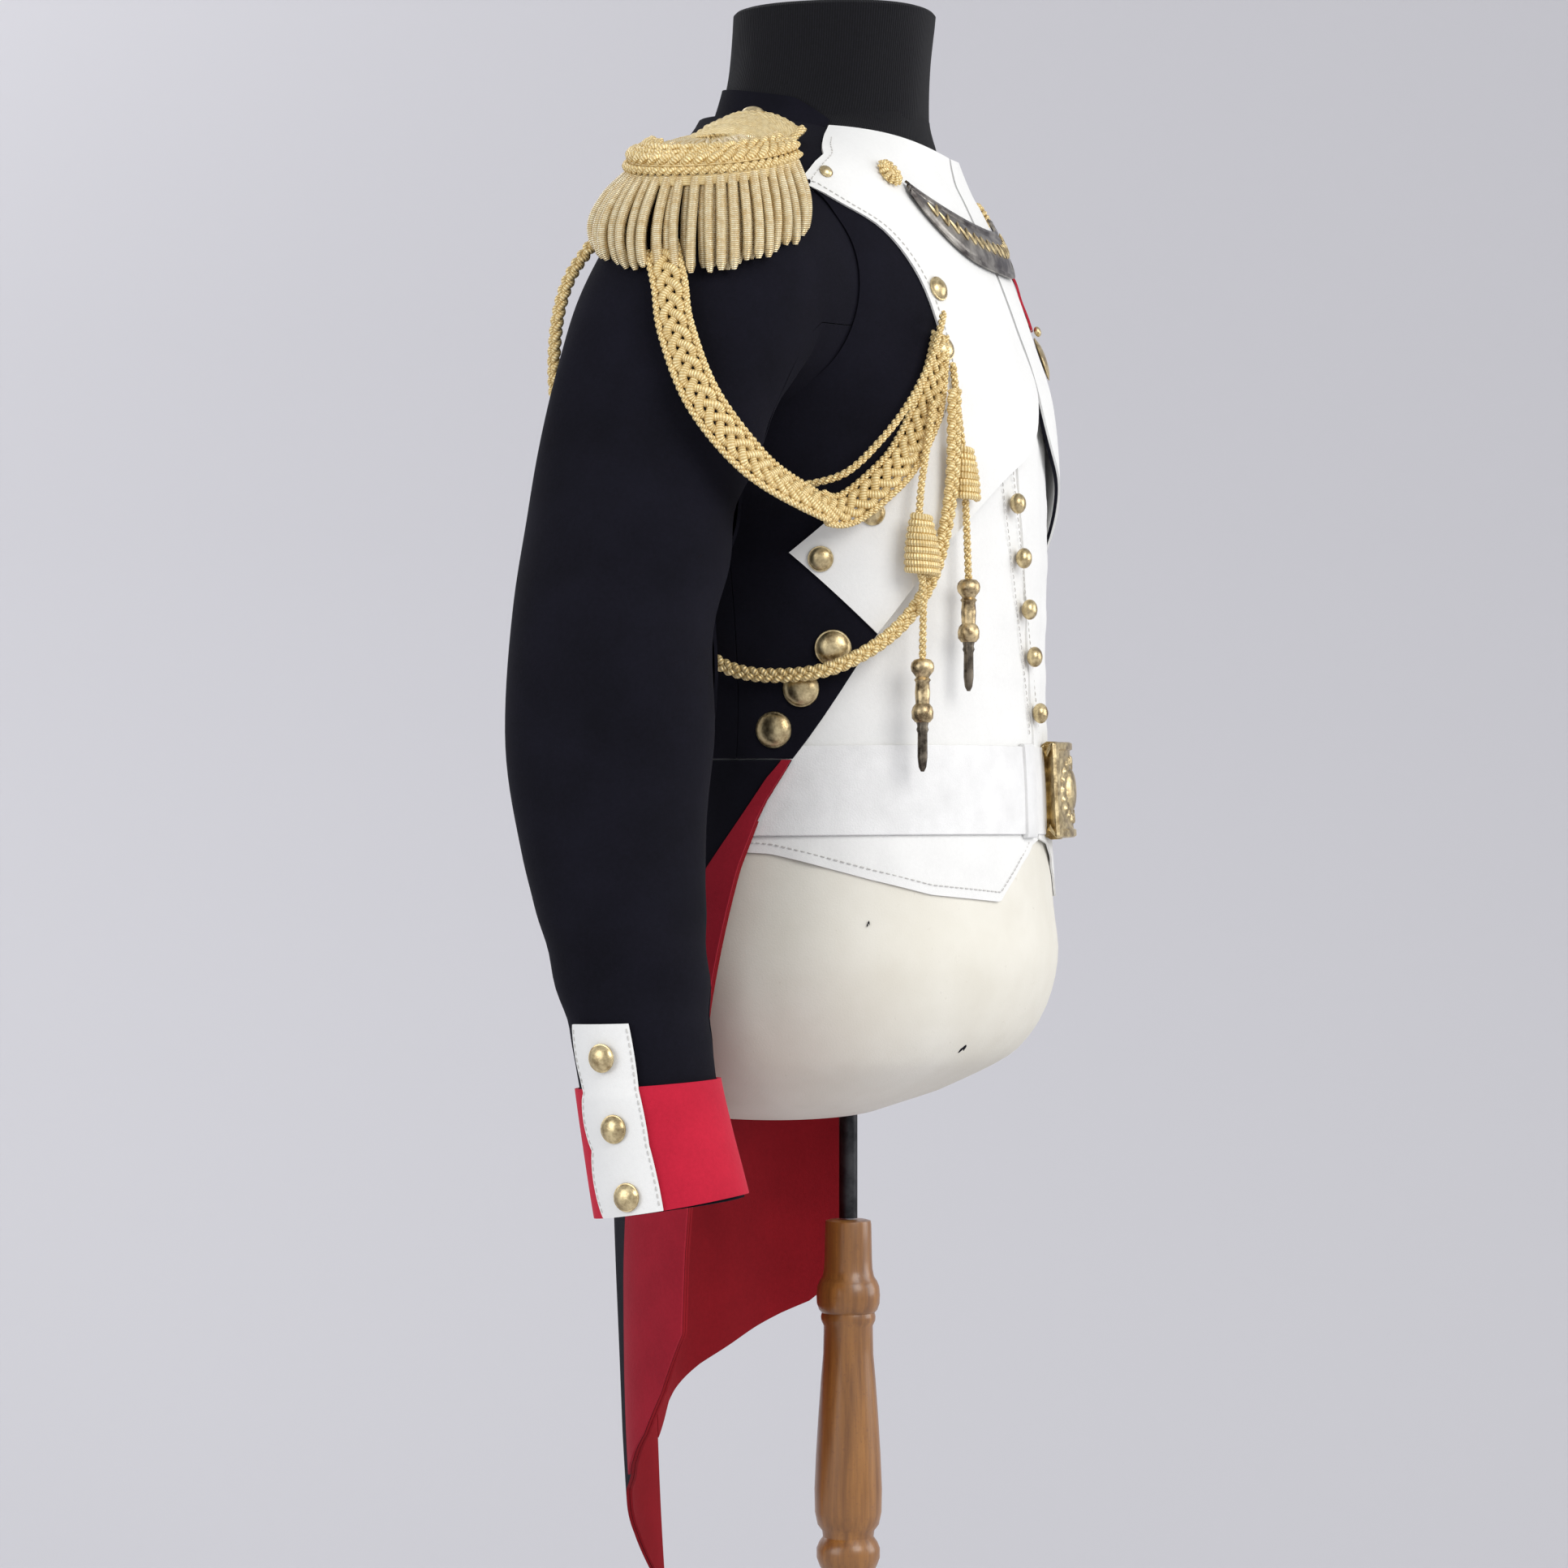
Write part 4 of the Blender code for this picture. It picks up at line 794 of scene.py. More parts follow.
def finish(name):
    """A material by name, made when it is first asked for."""
    makers = {
        "navy": lambda: wool("navy wool", (0.0068, 0.0065, 0.0120), 0.035, 0.45, (0.10, 0.10, 0.16)),
        "scarlet": lambda: wool("scarlet wool", (0.56, 0.018, 0.045), 0.25, 0.22, (0.9, 0.25, 0.3)),
        # painted shade: the turnback's and the lining's scarlet is the cuff's scarlet wool darkened for the shade the
        # tails lie in
        "turned": lambda: wool("scarlet turnback wool in painted shade", (0.33, 0.014, 0.028), 0.14, 0.25, (0.8, 0.2, 0.25)),
        "lining": lambda: wool("scarlet lining in painted shade", (0.25, 0.008, 0.014), 0.08, 0.25, (0.7, 0.15, 0.18)),
        "white": lambda: wool("white wool", (0.84, 0.84, 0.82), 0.15, 0.07, (1.0, 1.0, 1.0)),
        "linen": linen,
        # the jersey's dark colour is painted shade in its rib valleys
        "jersey": lambda: ribbed("black jersey", (0.0085, 0.0085, 0.012), (0.003, 0.003, 0.004), 620.0, 0.9, 0.05),
        "wood": varnished_wood,
        "iron": lambda: metal("dark iron", (0.055, 0.055, 0.058), (0.02, 0.02, 0.022), 0.38, 60.0),
        "gilt": lambda: metal("gilt metal", (0.80, 0.66, 0.38), (0.34, 0.25, 0.13), 0.30, 160.0),
        # painted reflection: the polished silver's colour is darkened to paint the plate's dark reflections; its worn
        # blotches vary at random
        "silver": lambda: metal("aged silver", (0.36, 0.34, 0.31), (0.05, 0.04, 0.04), 0.36, 55.0),
        "tag": lambda: metal("worn tag metal", (0.78, 0.62, 0.36), (0.16, 0.11, 0.06), 0.34, 160.0),
        "tip": lambda: metal("dark tag metal", (0.20, 0.17, 0.13), (0.02, 0.015, 0.012), 0.34, 120.0),
        # the gold threads' dark colours are painted shade between their turns, and their bright colours are painted
        # highlights on the turns
        "lace": lambda: thread("gold lace", (1.0, 0.86, 0.52), (0.66, 0.48, 0.20), 800.0, 2.0, 0.35),
        "cord": lambda: thread("gold cord", (1.0, 0.84, 0.47), (0.64, 0.44, 0.16), 650.0, 1.0, 0.35),
        "bullion": lambda: thread("bullion", (1.0, 0.94, 0.68), (0.60, 0.40, 0.15), 850.0, 1.0, 0.40, 0.30),
        "belt": lambda: leather("whitened leather", (0.84, 0.84, 0.83), (0.72, 0.72, 0.71)),
        # the ribbon silk's dark colour is painted shade in its rib valleys
        "silk": lambda: ribbed("ribbon silk", (0.62, 0.02, 0.05), (0.30, 0.008, 0.02), 900.0, 0.45, 0.3),
        "stitch": lambda: wool("sewing thread", (0.62, 0.61, 0.58), 0.1, 0.15),
        "dark": lambda: wool("dark stitching", (0.006, 0.006, 0.012), 0.02, 0.2),
    }
    if name not in FINISHES:
        FINISHES[name] = makers[name]()
    return FINISHES[name]


# ---- the form and its stand ----
def form_pieces(marks):
    heights = np.concatenate([np.linspace(0.872, 0.93, 14), np.linspace(0.94, 1.51, 60)])
    angles = np.linspace(0, 360, 96, endpoint=False)
    ease = 0.0012 * np.clip((heights - 0.98) / 0.02, 0, 1) + 0.0024 * np.clip((heights - 1.05) / 0.01, 0, 1)
    place = np.meshgrid(angles, heights)
    rings = on_form(place[0], place[1], -np.repeat(ease[:, None], 96, axis=1))
    torso = tube("form_torso_skin", rings, finish("linen"))
    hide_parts("form_torso")
    neck_heights = np.concatenate([np.linspace(1.5112, 1.5835, 40), [1.5852, 1.586]])
    place = np.meshgrid(angles, neck_heights)
    creases = 0.0006 * np.sin(np.radians(place[0] * 7) + place[1] * 12) * np.clip((1.575 - place[1]) / 0.02, 0, 1)
    edge = np.array([0.0] * 40 + [0.0016, 0.004])
    rings = jersey_place(place[0], place[1], -FORM_EASE + creases - edge[:, None])
    neck = tube("neck_cover", rings, finish("jersey"), uv=in_metres(rings))
    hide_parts("form_neck")
    place = np.meshgrid(np.linspace(0, 360, 97), np.linspace(1.5150, 1.4720, 24))
    outer = jersey_place(place[0], place[1], -0.0016 - 0.0018 * np.clip((place[1] - 1.500) / 0.014, 0, 1))
    inner = outer - np.array([0, 0, 0.0012])
    cloth("neck_cover_foot", outer, inner, finish("jersey"), "neck_cover", closed=True, uv=in_metres(outer[:, :-1]),
          held="stretched", rests_on="form_torso")
    for k, (angle, z, wide, high) in enumerate(marks):
        spots = np.meshgrid(angle + np.linspace(-wide, wide, 7) * 290, z + np.linspace(-high, high, 7))
        spots[1] += 0.0012 * np.sin(np.linspace(0, 5, 7))[None, :]
        outer = on_form(spots[0], spots[1], 0.0003)
        inner = on_form(spots[0], spots[1], -0.0003)
        cloth(f"form_mark_{k + 1}", outer, inner, finish("dark"), "neck_cover")


def neck_out(point):
    """The level directions away from the neck's axis at points."""
    flat = point * [1, 1, 0] - [0, NECK_AXIS_Y, 0]
    return flat / np.linalg.norm(flat, axis=-1, keepdims=True)


def jersey_place(angle, z, off):
    """Points a level distance out from the form's neck."""
    point = skin(FORM_CURVE, angle, z)
    return point + neck_out(point) * off[..., None]


def in_metres(rings):
    """A texture map in metres for rings of points that close."""
    rings = np.concatenate([rings, rings[:, :1]], axis=1)
    u = run_along(rings[len(rings) // 2])
    v = run_along(rings.mean(axis=1))
    return np.stack(np.meshgrid(u, v), axis=-1)


COLUMN = [
    (0.0118, 0.8020), (0.0146, 0.8012), (0.0150, 0.7990), (0.0153, 0.7860), (0.0155, 0.7760), (0.0158, 0.7700),
    (0.0168, 0.7650), (0.0188, 0.7620), (0.0202, 0.7585), (0.0207, 0.7530), (0.0204, 0.7475), (0.0190, 0.7435),
    (0.0172, 0.7415), (0.0178, 0.7390), (0.0176, 0.7365), (0.0160, 0.7330), (0.0163, 0.7150), (0.0178, 0.6980),
    (0.0195, 0.6740), (0.0210, 0.6500), (0.0220, 0.6270), (0.0217, 0.6120), (0.0200, 0.6040), (0.0170, 0.6000),
    (0.0165, 0.5960), (0.0190, 0.5925), (0.0206, 0.5885), (0.0206, 0.5825), (0.0190, 0.5780), (0.0170, 0.5740),
    (0.0176, 0.5650), (0.0190, 0.5400), (0.0205, 0.4900), (0.0225, 0.4100), (0.0235, 0.3500), (0.0225, 0.2800),
    (0.0190, 0.2300), (0.0175, 0.2150), (0.0230, 0.2050), (0.0240, 0.1900), (0.0190, 0.1780), (0.0200, 0.1550),
    (0.0225, 0.1250), (0.0300, 0.0850), (0.0380, 0.0550), (0.0420, 0.0310), (0.0420, 0.0300),
]
BASE = [
    (0.0400, 0.0300), (0.0950, 0.0272), (0.1330, 0.0245), (0.1400, 0.0225), (0.1430, 0.0185), (0.1560, 0.0172),
    (0.1650, 0.0145), (0.1695, 0.0095), (0.1700, 0.0050), (0.1685, 0.0010), (0.1670, 0.0),
]


def stand_pieces():
    rod = lathe("stand_rod_turned", [(0.0058, 0.8718), (0.0060, 0.8690), (0.0060, 0.8030)], finish("iron"))
    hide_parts("stand_rod")
    column = lathe("stand_column_turned", COLUMN, finish("wood"), sides=64)
    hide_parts("stand_column")
    base = lathe("stand_base_turned", BASE, finish("wood"), sides=96)
    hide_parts("stand_base")


# ---- the coat's body ----
LAPEL_ROWS = 45  # rows of the coat's fine cut from the lapel's peak to its lower corner


def front_cut():
    """Rows of the coat's front; the first seven points of the upper rows are the lapel's own."""
    cut = []
    for inner_z, (outer_z, outer_angle), side_z in zip(LAPEL_INNER_Z, LAPEL_OUTER, FRONT_SIDE_Z):
        first = along(FRONT_EDGE, inner_z)
        share = np.arange(7) / 6
        row = list(zip(first + (outer_angle - first) * share, inner_z + (outer_z - inner_z) * share))
        on_armhole = abs(side_z - ARMHOLE[1]) < ARMHOLE[3] + SEAM_GAP
        last = armhole_edge(side_z, True) if on_armhole else SIDE_SEAM - 0.15
        if side_z > 1.46:
            last = 94.85
        share = np.arange(1, 5) / 4
        row += list(zip(outer_angle + (last - outer_angle) * share, outer_z + (side_z - outer_z) * share))
        cut.append(row)
    upper = cut[-1]
    for share in (0.35, 0.70, 1.0):
        low = WAIST_Z + SEAM_GAP
        first = along(FRONT_EDGE, upper[0][1] + (low - upper[0][1]) * share)
        row = []
        for angle, z in upper:
            over = (angle - upper[0][0]) / (upper[-1][0] - upper[0][0])
            row.append((first + (SIDE_SEAM - 0.15 - first) * over, z + (low - z) * share))
        cut.append(row)
    return rounded(cut, 3, 11)


def back_cut():
    """Rows from the side seam and armhole to the centre back."""
    rows = [(1.5010, 1.5128), (1.4930, 1.5020), (1.4840, 1.4900), (1.4750, 1.4780), (1.4660, 1.4660)]
    rows += [(z, z) for z in (1.452, 1.432, 1.405, 1.372, 1.342, 1.3115, 1.275, 1.235, 1.190, 1.145)]
    rows += [(WAIST_Z + SEAM_GAP, WAIST_Z + SEAM_GAP)]
    cut = []
    for i, (front_z, back_z) in enumerate(rows):
        on_armhole = abs(front_z - ARMHOLE[1]) < ARMHOLE[3] + SEAM_GAP
        first = armhole_edge(front_z, False) if on_armhole else SIDE_SEAM - 5 * max(0, 5 - i) / 5 + 0.15
        angles = first + (BACK_SEAM - first) * np.arange(8) / 7
        z = front_z + (back_z - front_z) * -np.cos(np.radians(angles)) if i < 5 else np.full(8, front_z)
        if i == 0:
            z = NECK_Z - 0.013 * np.cos(np.radians(angles))
        cut.append(list(zip(angles, z)))
    return rounded(cut, 4, 11)


def tail_cut(hem):
    """Rows of the tail from the waist down; the first five points of each are the turnback's own."""
    cut = []
    top = WAIST_Z - SEAM_GAP
    corner_z, corner = hem[0]
    fold = TURNBACK_BACK[-1][1]
    fold_z = float(across(hem, fold))
    for share in (0.0, 0.05, 0.11, 0.19, 0.30, 0.43, 0.57, 0.72, 0.86, 1.0):
        first = along(FRONT_EDGE, top + (corner_z - top) * share)
        turned = along(TURNBACK_BACK, top + (fold_z - top) * share)
        row = []
        for k in range(5):
            low = across(hem, corner + (fold - corner) * k / 4)
            row.append((first + (turned - first) * k / 4, top + (low - top) * share))
        for k in range(1, 10):
            low = across(hem, fold + (VENT - fold) * k / 9)
            row.append((turned + (VENT - turned) * k / 9, top + (low - top) * share))
        cut.append(row)
    return np.array(cut, float)


def body_folds(angle, z):
    """Soft drags in the coat's body: from the shoulder to the chest, and at the waist."""
    chest = np.exp(-(((angle - 62) / 26) ** 2)) * np.exp(-(((z - 1.34) / 0.055) ** 2))
    waist = np.exp(-(((z - 1.125) / 0.030) ** 2)) * np.clip((angle - 60) / 25, 0, 1)
    drag = chest * 0.0016 * np.sin(angle * 0.16 + z * 62) + waist * 0.0013 * np.sin(angle * 0.34 + z * 40)
    return drag + 0.0005 * waves(angle, z, 3) * np.clip((1.50 - z) / 0.02, 0, 1)


def tail_folds(angle, z):
    """Long hanging folds that start below the waist, deepest at the hem."""
    down = np.clip((1.09 - z) / 0.42, 0, 1)
    back = np.clip((angle - 122) / 30, 0, 1)
    pleat = np.sin((angle - 122) * 0.19 + 0.6 * np.sin(z * 9))
    waist = body_folds(angle, z) * np.clip((z - 1.045) / 0.05, 0, 1)
    return waist + down * back * 0.0050 * (0.5 + 0.5 * pleat) + down * 0.0009 * waves(angle, z, 5)


def coat_pieces(stitches):
    navy, white = finish("navy"), finish("white")
    for side, name in SIDES:
        front = resample(front_cut(), 85, 61)
        piece = panel(f"tunic_front_{name}", front, COAT_LAYER, side, navy, "navy_cloth", folds=body_folds,
                      held="stretched", rests_on="form_torso", inside=white)
        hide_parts(f"coat_front_{name}")
        back = resample(back_cut(), 76, 43)
        piece = panel(f"tunic_back_{name}", back, COAT_LAYER, side, navy, "navy_cloth", folds=body_folds,
                      held="stretched", rests_on="form_torso")
        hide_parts(f"coat_back_{name}")
        lapel = resample(front_cut()[:LAPEL_ROWS, :7], 133, 46)
        piece = panel(f"lapel_facing_{name}", lapel, TRIM_LAYER, side, white, "white_cloth", folds=body_folds,
                      held="stretched", rests_on=f"tunic_front_{name}")
        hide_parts(f"lapel_{name}")
        lapel_trim(side, name, stitches)
    collar_piece(navy)


def lapel_at(side, share, column, off=0.0):
    """Places on the lapel, from its peak to its lower corner, along a column, 6 being its outer edge."""
    line = resample(front_cut()[:LAPEL_ROWS, :7], 133, 61)[:, int(column * 10)]
    rows = np.linspace(0, 1, len(line))
    angle, z = (np.interp(share, rows, line[:, k]) for k in (0, 1))
    return coat(angle, z, TRIM_LAYER[1] + body_folds(angle, z) + off, side)


def stitch_row(name, line, outward, step=0.0042, long=0.0026, radius=0.00035):
    """Short stitches along a line, as one piece."""
    count = max(2, int(length_of(line) / step))
    fine = spline(line, count * 4 + 1)
    strands = []
    for k in range(count):
        a = fine[4 * k]
        b = a + (fine[4 * k + 3] - a) * (long / step) / 0.75
        mid = (a + b) / 2 + np.array(outward(a)) * radius
        strands.append((np.array([a, mid, b]), radius, 5))
    return bundle(name, strands, finish("stitch"))


def away(point):
    """Straight out from the body's axis."""
    flat = np.array([point[0], point[1] - BODY_AXIS_Y, 0.0])
    return flat / (np.linalg.norm(flat) + 1e-9)


LAPEL_BUTTONS = [(58.5, 1.456), (33.5, 1.390), (38.8, 1.352), (53.5, 1.288), (64.5, 1.252), (78.0, 1.224)]


def lapel_trim(side, name, stitches):
    """The lapel's edge stitching, its buttons and its buttonholes."""
    if stitches:
        edge = lapel_at(side, np.linspace(0.02, 0.985, 80), 5.7, 0.0001)
        stitch_row(f"lapel_stitches_{name}", edge, away)
    for k, (angle, z) in enumerate(LAPEL_BUTTONS):
        off = TRIM_LAYER[1] + float(body_folds(angle, z)) - 0.0001
        seat, out = coat(angle, z, off, side), coat(angle, z, off + 0.004, side)
        radius, high = (0.0045, 0.0030) if k == 0 else (0.0080, 0.0048)
        dome(f"lapel_button_{name}{k + 1}", seat, out - seat, radius, high, finish("gilt"))
    angles = np.linspace(64.3, 66.9, 7)
    hole = coat(angles, np.full(7, 1.450), TRIM_LAYER[1] + body_folds(angles, 1.450) + 0.0002, side)
    bundle(f"lapel_hole_{name}", [(hole, 0.0014, 6)], finish("dark"))


def collar_piece(navy):
    angles = np.linspace(71.0, 289.0, 120)
    shares = np.linspace(0, 1, 12)
    place = np.meshgrid(angles, shares)
    foot = NECK_Z - 0.013 * np.cos(np.radians(place[0])) + 0.0061
    tall = 0.017 * np.minimum(1.0, 0.30 + (180 - np.abs(180 - place[0]) - 71.0) / 30)
    point = skin(FORM_CURVE, place[0], foot + tall * place[1])
    flat = neck_out(point)
    wave = 0.0006 * waves(place[0], place[1] * 0.03, 8)
    outer = point + flat * (wave - 0.0006)[..., None]
    inner = point + flat * (wave - 0.0026)[..., None]
    piece = cloth("collar_stand", outer, inner, navy, "navy_cloth", held="stretched", rests_on="tunic_back_R")
    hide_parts("collar")


# ---- the tails ----
COAT_BUTTONS = ((1.1690, 75.5), (1.1440, 83.5), (1.1185, 89.5))


def tail_pieces():
    for side, name in SIDES:
        cut = tail_cut(TAIL_HEMS[side])
        # the tails' cut edges, linings and turnbacks take the scarlet darkened as painted shade
        piece = panel(f"tail_{name}", resample(cut, 110, 79), COAT_LAYER, side, finish("navy"), "navy_cloth",
                      folds=tail_folds, held="hung", rests_on=f"tunic_back_{name}", edges=finish("lining"))
        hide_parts(f"skirt_{name}")
        piece = panel(f"tail_lining_{name}", resample(cut[2:], 100, 79), LINING_LAYER, side, finish("lining"),
                      "scarlet_cloth", folds=tail_folds, held="hung", rests_on=f"tail_{name}")
        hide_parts(f"skirt_lining_{name}")
        piece = panel(f"tail_turnback_{name}", resample(cut[:, :5], 110, 33), TRIM_LAYER, side, finish("turned"),
                      "scarlet_cloth", folds=tail_folds, held="hung", rests_on=f"tail_{name}")
        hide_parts(f"turnback_{name}")
        for k, (z, angle) in enumerate(COAT_BUTTONS):
            seat = coat(angle, z, COAT_LAYER[1] + float(body_folds(angle, z)) - 0.0001, side)
            button = dome(f"front_button_{name}{k + 1}", seat, coat(angle, z, 0.03, side) - seat, 0.0115, 0.0060,
                          finish("gilt"))
            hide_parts(f"coat_button_{name}{k + 1}")


# ---- the sleeves, cuffs and flaps ----
def sleeve_folds(turn, row):
    """Drags round the elbow's inside and a soft break above the cuff."""
    bend = np.exp(-(((row - 6.6) / 1.5) ** 2)) * (0.5 - 0.5 * np.sin(np.radians(turn)))
    folds = bend * 0.0030 * np.sin(row * 4.4 + np.radians(turn) * 1.3)
    above = np.exp(-(((row - 10.6) / 0.7) ** 2)) * 0.0012 * np.sin(row * 7 + np.radians(turn) * 2)
    head = np.exp(-(((row - 2.2) / 1.0) ** 2)) * 0.0012 * np.sin(np.radians(turn) * 5)
    end = np.clip((11.6 - row) / 0.5, 0, 1) * np.clip(row / 0.8, 0, 1)
    return (folds + above + head + 0.0009 * waves(turn, row * 0.05, 11, 1.3)) * end


def sleeve_pieces(stitches):
    navy = finish("navy")
    for side, name in SIDES:
        rows = np.concatenate([np.linspace(0, 1, 9)[:-1], np.linspace(1, END_ROW, 110)])
        for part, first, last, columns in (("top", -105.0, 105.0, 64), ("under", 105.0, 255.0, 46)):
            turns = np.linspace(first + 0.2, last - 0.2, columns)
            place = np.meshgrid(turns, rows)
            lift = sleeve_folds(place[0], place[1])
            outer = on_sleeve(place[0], place[1], lift, side)
            inner = on_sleeve(place[0], place[1], lift - 0.0020, side)
            piece = cloth(f"{part}_sleeve_cloth_{name}", outer, inner, navy, "navy_cloth", held="hung",
                          rests_on=f"tunic_front_{name}")
            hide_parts(f"{part}_sleeve_{name}")
        cuff_piece(side, name)
        flap_piece(side, name, stitches)


def cuff_piece(side, name):
    turns = np.linspace(0, 360, 97)
    rows = np.linspace(CUFF_ROW, END_ROW + 0.03, 30)
    place = np.meshgrid(turns, rows)
    puff = 0.0012 * np.sin(np.clip((place[1] - CUFF_ROW) / 2, 0, 1) * pi)
    puff = puff + 0.0005 * waves(place[0], place[1] * 0.05, 17)
    outer = on_sleeve(place[0], place[1], 0.0030 + puff, side)
    inner = on_sleeve(place[0], place[1], 0.0008 + puff, side)
    outer[:, -1], inner[:, -1] = outer[:, 0], inner[:, 0]
    piece = cloth(f"cuff_band_{name}", outer, inner, finish("scarlet"), "scarlet_cloth", closed=True,
                  held="stretched", rests_on=f"top_sleeve_cloth_{name}")
    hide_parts(f"cuff_{name}")


def flap_piece(side, name, stitches):
    """The white upright flap with a scalloped edge, its piping of stitches and its three buttons."""
    share = np.linspace(0, 1, 90)
    row = FLAP_ROW + (END_ROW + 0.02 - FLAP_ROW) * share
    lobe = 5.5 * np.abs(np.sin(3 * pi * share)) ** 0.7
    first, last = FLAP_TURNS[0] - 0.15 * lobe, FLAP_TURNS[1] + lobe
    over = np.linspace(0, 1, 24)
    turns = first[:, None] + (last - first)[:, None] * over
    rows = np.repeat(row[:, None], 24, axis=1)
    puff = 0.0012 * np.sin(np.clip((rows - CUFF_ROW) / 2, 0, 1) * pi)
    step = 0.0016 * np.clip((rows - CUFF_ROW + 0.15) / 0.3, 0, 1) - 0.0016
    outer = on_sleeve(turns, rows, 0.0054 + puff + step, side)
    inner = on_sleeve(turns, rows, 0.0040 + puff + step, side)
    piece = cloth(f"cuff_flap_cloth_{name}", outer, inner, finish("white"), "white_cloth", held="stretched",
                  rests_on=f"cuff_band_{name}")
    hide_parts(f"cuff_flap_{name}")
    for k, place in enumerate((11.52, 12.70, 13.74)):
        seat = on_sleeve(11.0, place, 0.0053 + 0.0012 * sin(max(0, (place - 12) / 2) * pi), side)
        out = on_sleeve(11.0, place, 0.02, side) - on_sleeve(11.0, place, 0.0, side)
        dome(f"cuff_button_{name}{k + 1}", seat, out, 0.0086, 0.0052, finish("gilt"))
    if stitches:
        for which, edge, shift in (("front", first, 2.2), ("back", last, -2.2)):
            line = on_sleeve(edge[2:-2] + shift, row[2:-2], 0.0055 + puff[2:-2, 0] + step[2:-2, 0], side)
            stitch_row(f"flap_stitches_{which}_{name}", line, away)


# ---- the waistcoat front and the belt ----
def vest_folds(angle, z):
    belt = np.exp(-(((z - 1.036) / 0.010) ** 2)) * 0.0012 * np.sin(angle * 0.25)
    pull = np.exp(-(((angle - 10) / 14) ** 2)) * 0.0008 * np.sin(z * 170)
    return np.maximum(0, belt + pull + 0.0004 * waves(angle, z, 21)) * np.clip((angle + 10) / 8, 0, 1)


VEST_BUTTONS = [(1.325, 18.0), (1.262, 15.0), (1.228, 12.5), (1.196, 9.0), (1.166, 5.5), (1.130, 2.5)]


def vest_pieces(stitches):
    for side, name in SIDES:
        share = np.linspace(0, 1, 90)[:, None]
        flat = np.linspace(0, 106.0, 90)[None, :]
        z = 1.336 + (across(VEST_HEM, flat) - 1.336) * share
        first = side * along(VEST_CLOSING, z) + 0.2
        if side == LEFT:
            first = first - 2.2
        angle = first + (106.0 - first) * np.linspace(0, 1, 90)[None, :]
        over = 0.0 if side == RIGHT else 0.0014 * np.clip((6 - angle) / 3, 0, 1)
        lift = VEST_OUT + over + vest_folds(angle, z)
        outer = on_form(angle, z, lift, side)
        inner = on_form(angle, z, lift - 0.0014, side)
        piece = cloth(f"vest_{name}", outer, inner, finish("white"), "white_cloth", held="stretched",
                      rests_on="form_torso")
        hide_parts(f"vest_front_{name}")
    for k, (z, angle) in enumerate(VEST_BUTTONS[1:]):
        seat, far = on_form(angle, z, 0.0022), on_form(angle, z, 0.03)
        dome(f"vest_button_{k + 1}", seat, far - seat, 0.0066, 0.0098, finish("gilt"), ball=True)
    if stitches:
        z = np.linspace(1.325, 1.115, 60)
        for k, shift in enumerate((3.0, -3.0)):
            line = on_form(along(VEST_BUTTONS, z) + shift, z, 0.0020)
            stitch_row(f"vest_stitches_{k + 1}", line, away)
        angle = np.linspace(8, 96, 90)
        line = on_form(angle, across(VEST_HEM, angle) + 0.006, 0.0012)
        stitch_row("vest_hem_stitches", line, away)


BELT_LOW_Z = 1.0525
BELT_HIGH_Z = 1.1085
BUCKLE_TURNS = (-0.5, -23.5)
BUCKLE_OFF = 0.0042


def belt_pieces():
    angles = np.linspace(-4.5, 352.5, 300)
    share = np.linspace(0, 1, 14)[:, None]
    z = BELT_HIGH_Z + (BELT_LOW_Z - BELT_HIGH_Z) * share + 0.0008 * np.sin(np.radians(angles * 2))[None, :]
    crown = 0.0006 * np.sin(share * pi) + 0 * z
    place = np.broadcast_to(angles, z.shape)
    outer = on_form(place, z, BELT_LAYER[1] + crown)
    inner = on_form(place, z, BELT_LAYER[0] + crown)
    piece = cloth("belt_strap", outer, inner, finish("belt"), "belt_leather")
    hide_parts("belt")
    modifier = piece.modifiers.new("edges", "BEVEL")
    modifier.width, modifier.segments, modifier.limit_method = 0.0005, 2, "ANGLE"
    apply_modifiers(piece)
    ring = []
    for turn in np.linspace(0, 2 * pi, 48, endpoint=False):
        ring.append((signed_power(np.cos(turn), 0.35), signed_power(np.sin(turn), 0.35)))
    rings = []
    for over in np.linspace(5.6, 11.4, 9):
        edge = 0.0006 * abs(over - 8.5) / 2.9
        rings.append([
            on_form(over, 1.0805 + 0.0300 * c, BELT_LAYER[0] + 0.0017 + (0.0030 - edge) * s) for s, c in ring
        ])
    keeper = tube("belt_keeper_loop", np.array(rings), finish("belt"))
    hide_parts("belt_keeper")
    buckle_piece()


def buckle_piece():
    """A bowed plate on the belt, with a raised border, a beaded ring and a plain boss."""
    middle, half_turn = (BELT_HIGH_Z + BELT_LOW_Z) / 2, (BUCKLE_TURNS[0] - BUCKLE_TURNS[1]) / 2
    x, z = np.meshgrid(np.linspace(-1, 1, 73), np.linspace(-1, 1, 67))
    edge = np.maximum(np.abs(x), np.abs(z))
    border = 0.0016 * (edge > 0.84) * (edge < 0.985)
    reach = np.sqrt(x**2 + z**2)
    boss = 0.0034 * np.clip(1 - (reach / 0.44) ** 2, 0, 1) ** 0.5
    beads = 0.0014 * (np.abs(reach - 0.62) < 0.09) * (0.5 + 0.5 * np.cos(np.arctan2(z, x) * 20))
    rise = BUCKLE_OFF + 0.0115 - 0.0045 * x**2
    turn = (BUCKLE_TURNS[0] + BUCKLE_TURNS[1]) / 2 + half_turn * x
    outer = on_form(turn, middle + 0.031 * z, rise + border + boss + beads)
    inner = on_form(turn, middle + 0.031 * z, BUCKLE_OFF + 0 * rise)
    plate = cloth("buckle_plate", outer, inner, finish("gilt"), "gilt_metal")
    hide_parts("belt_buckle")


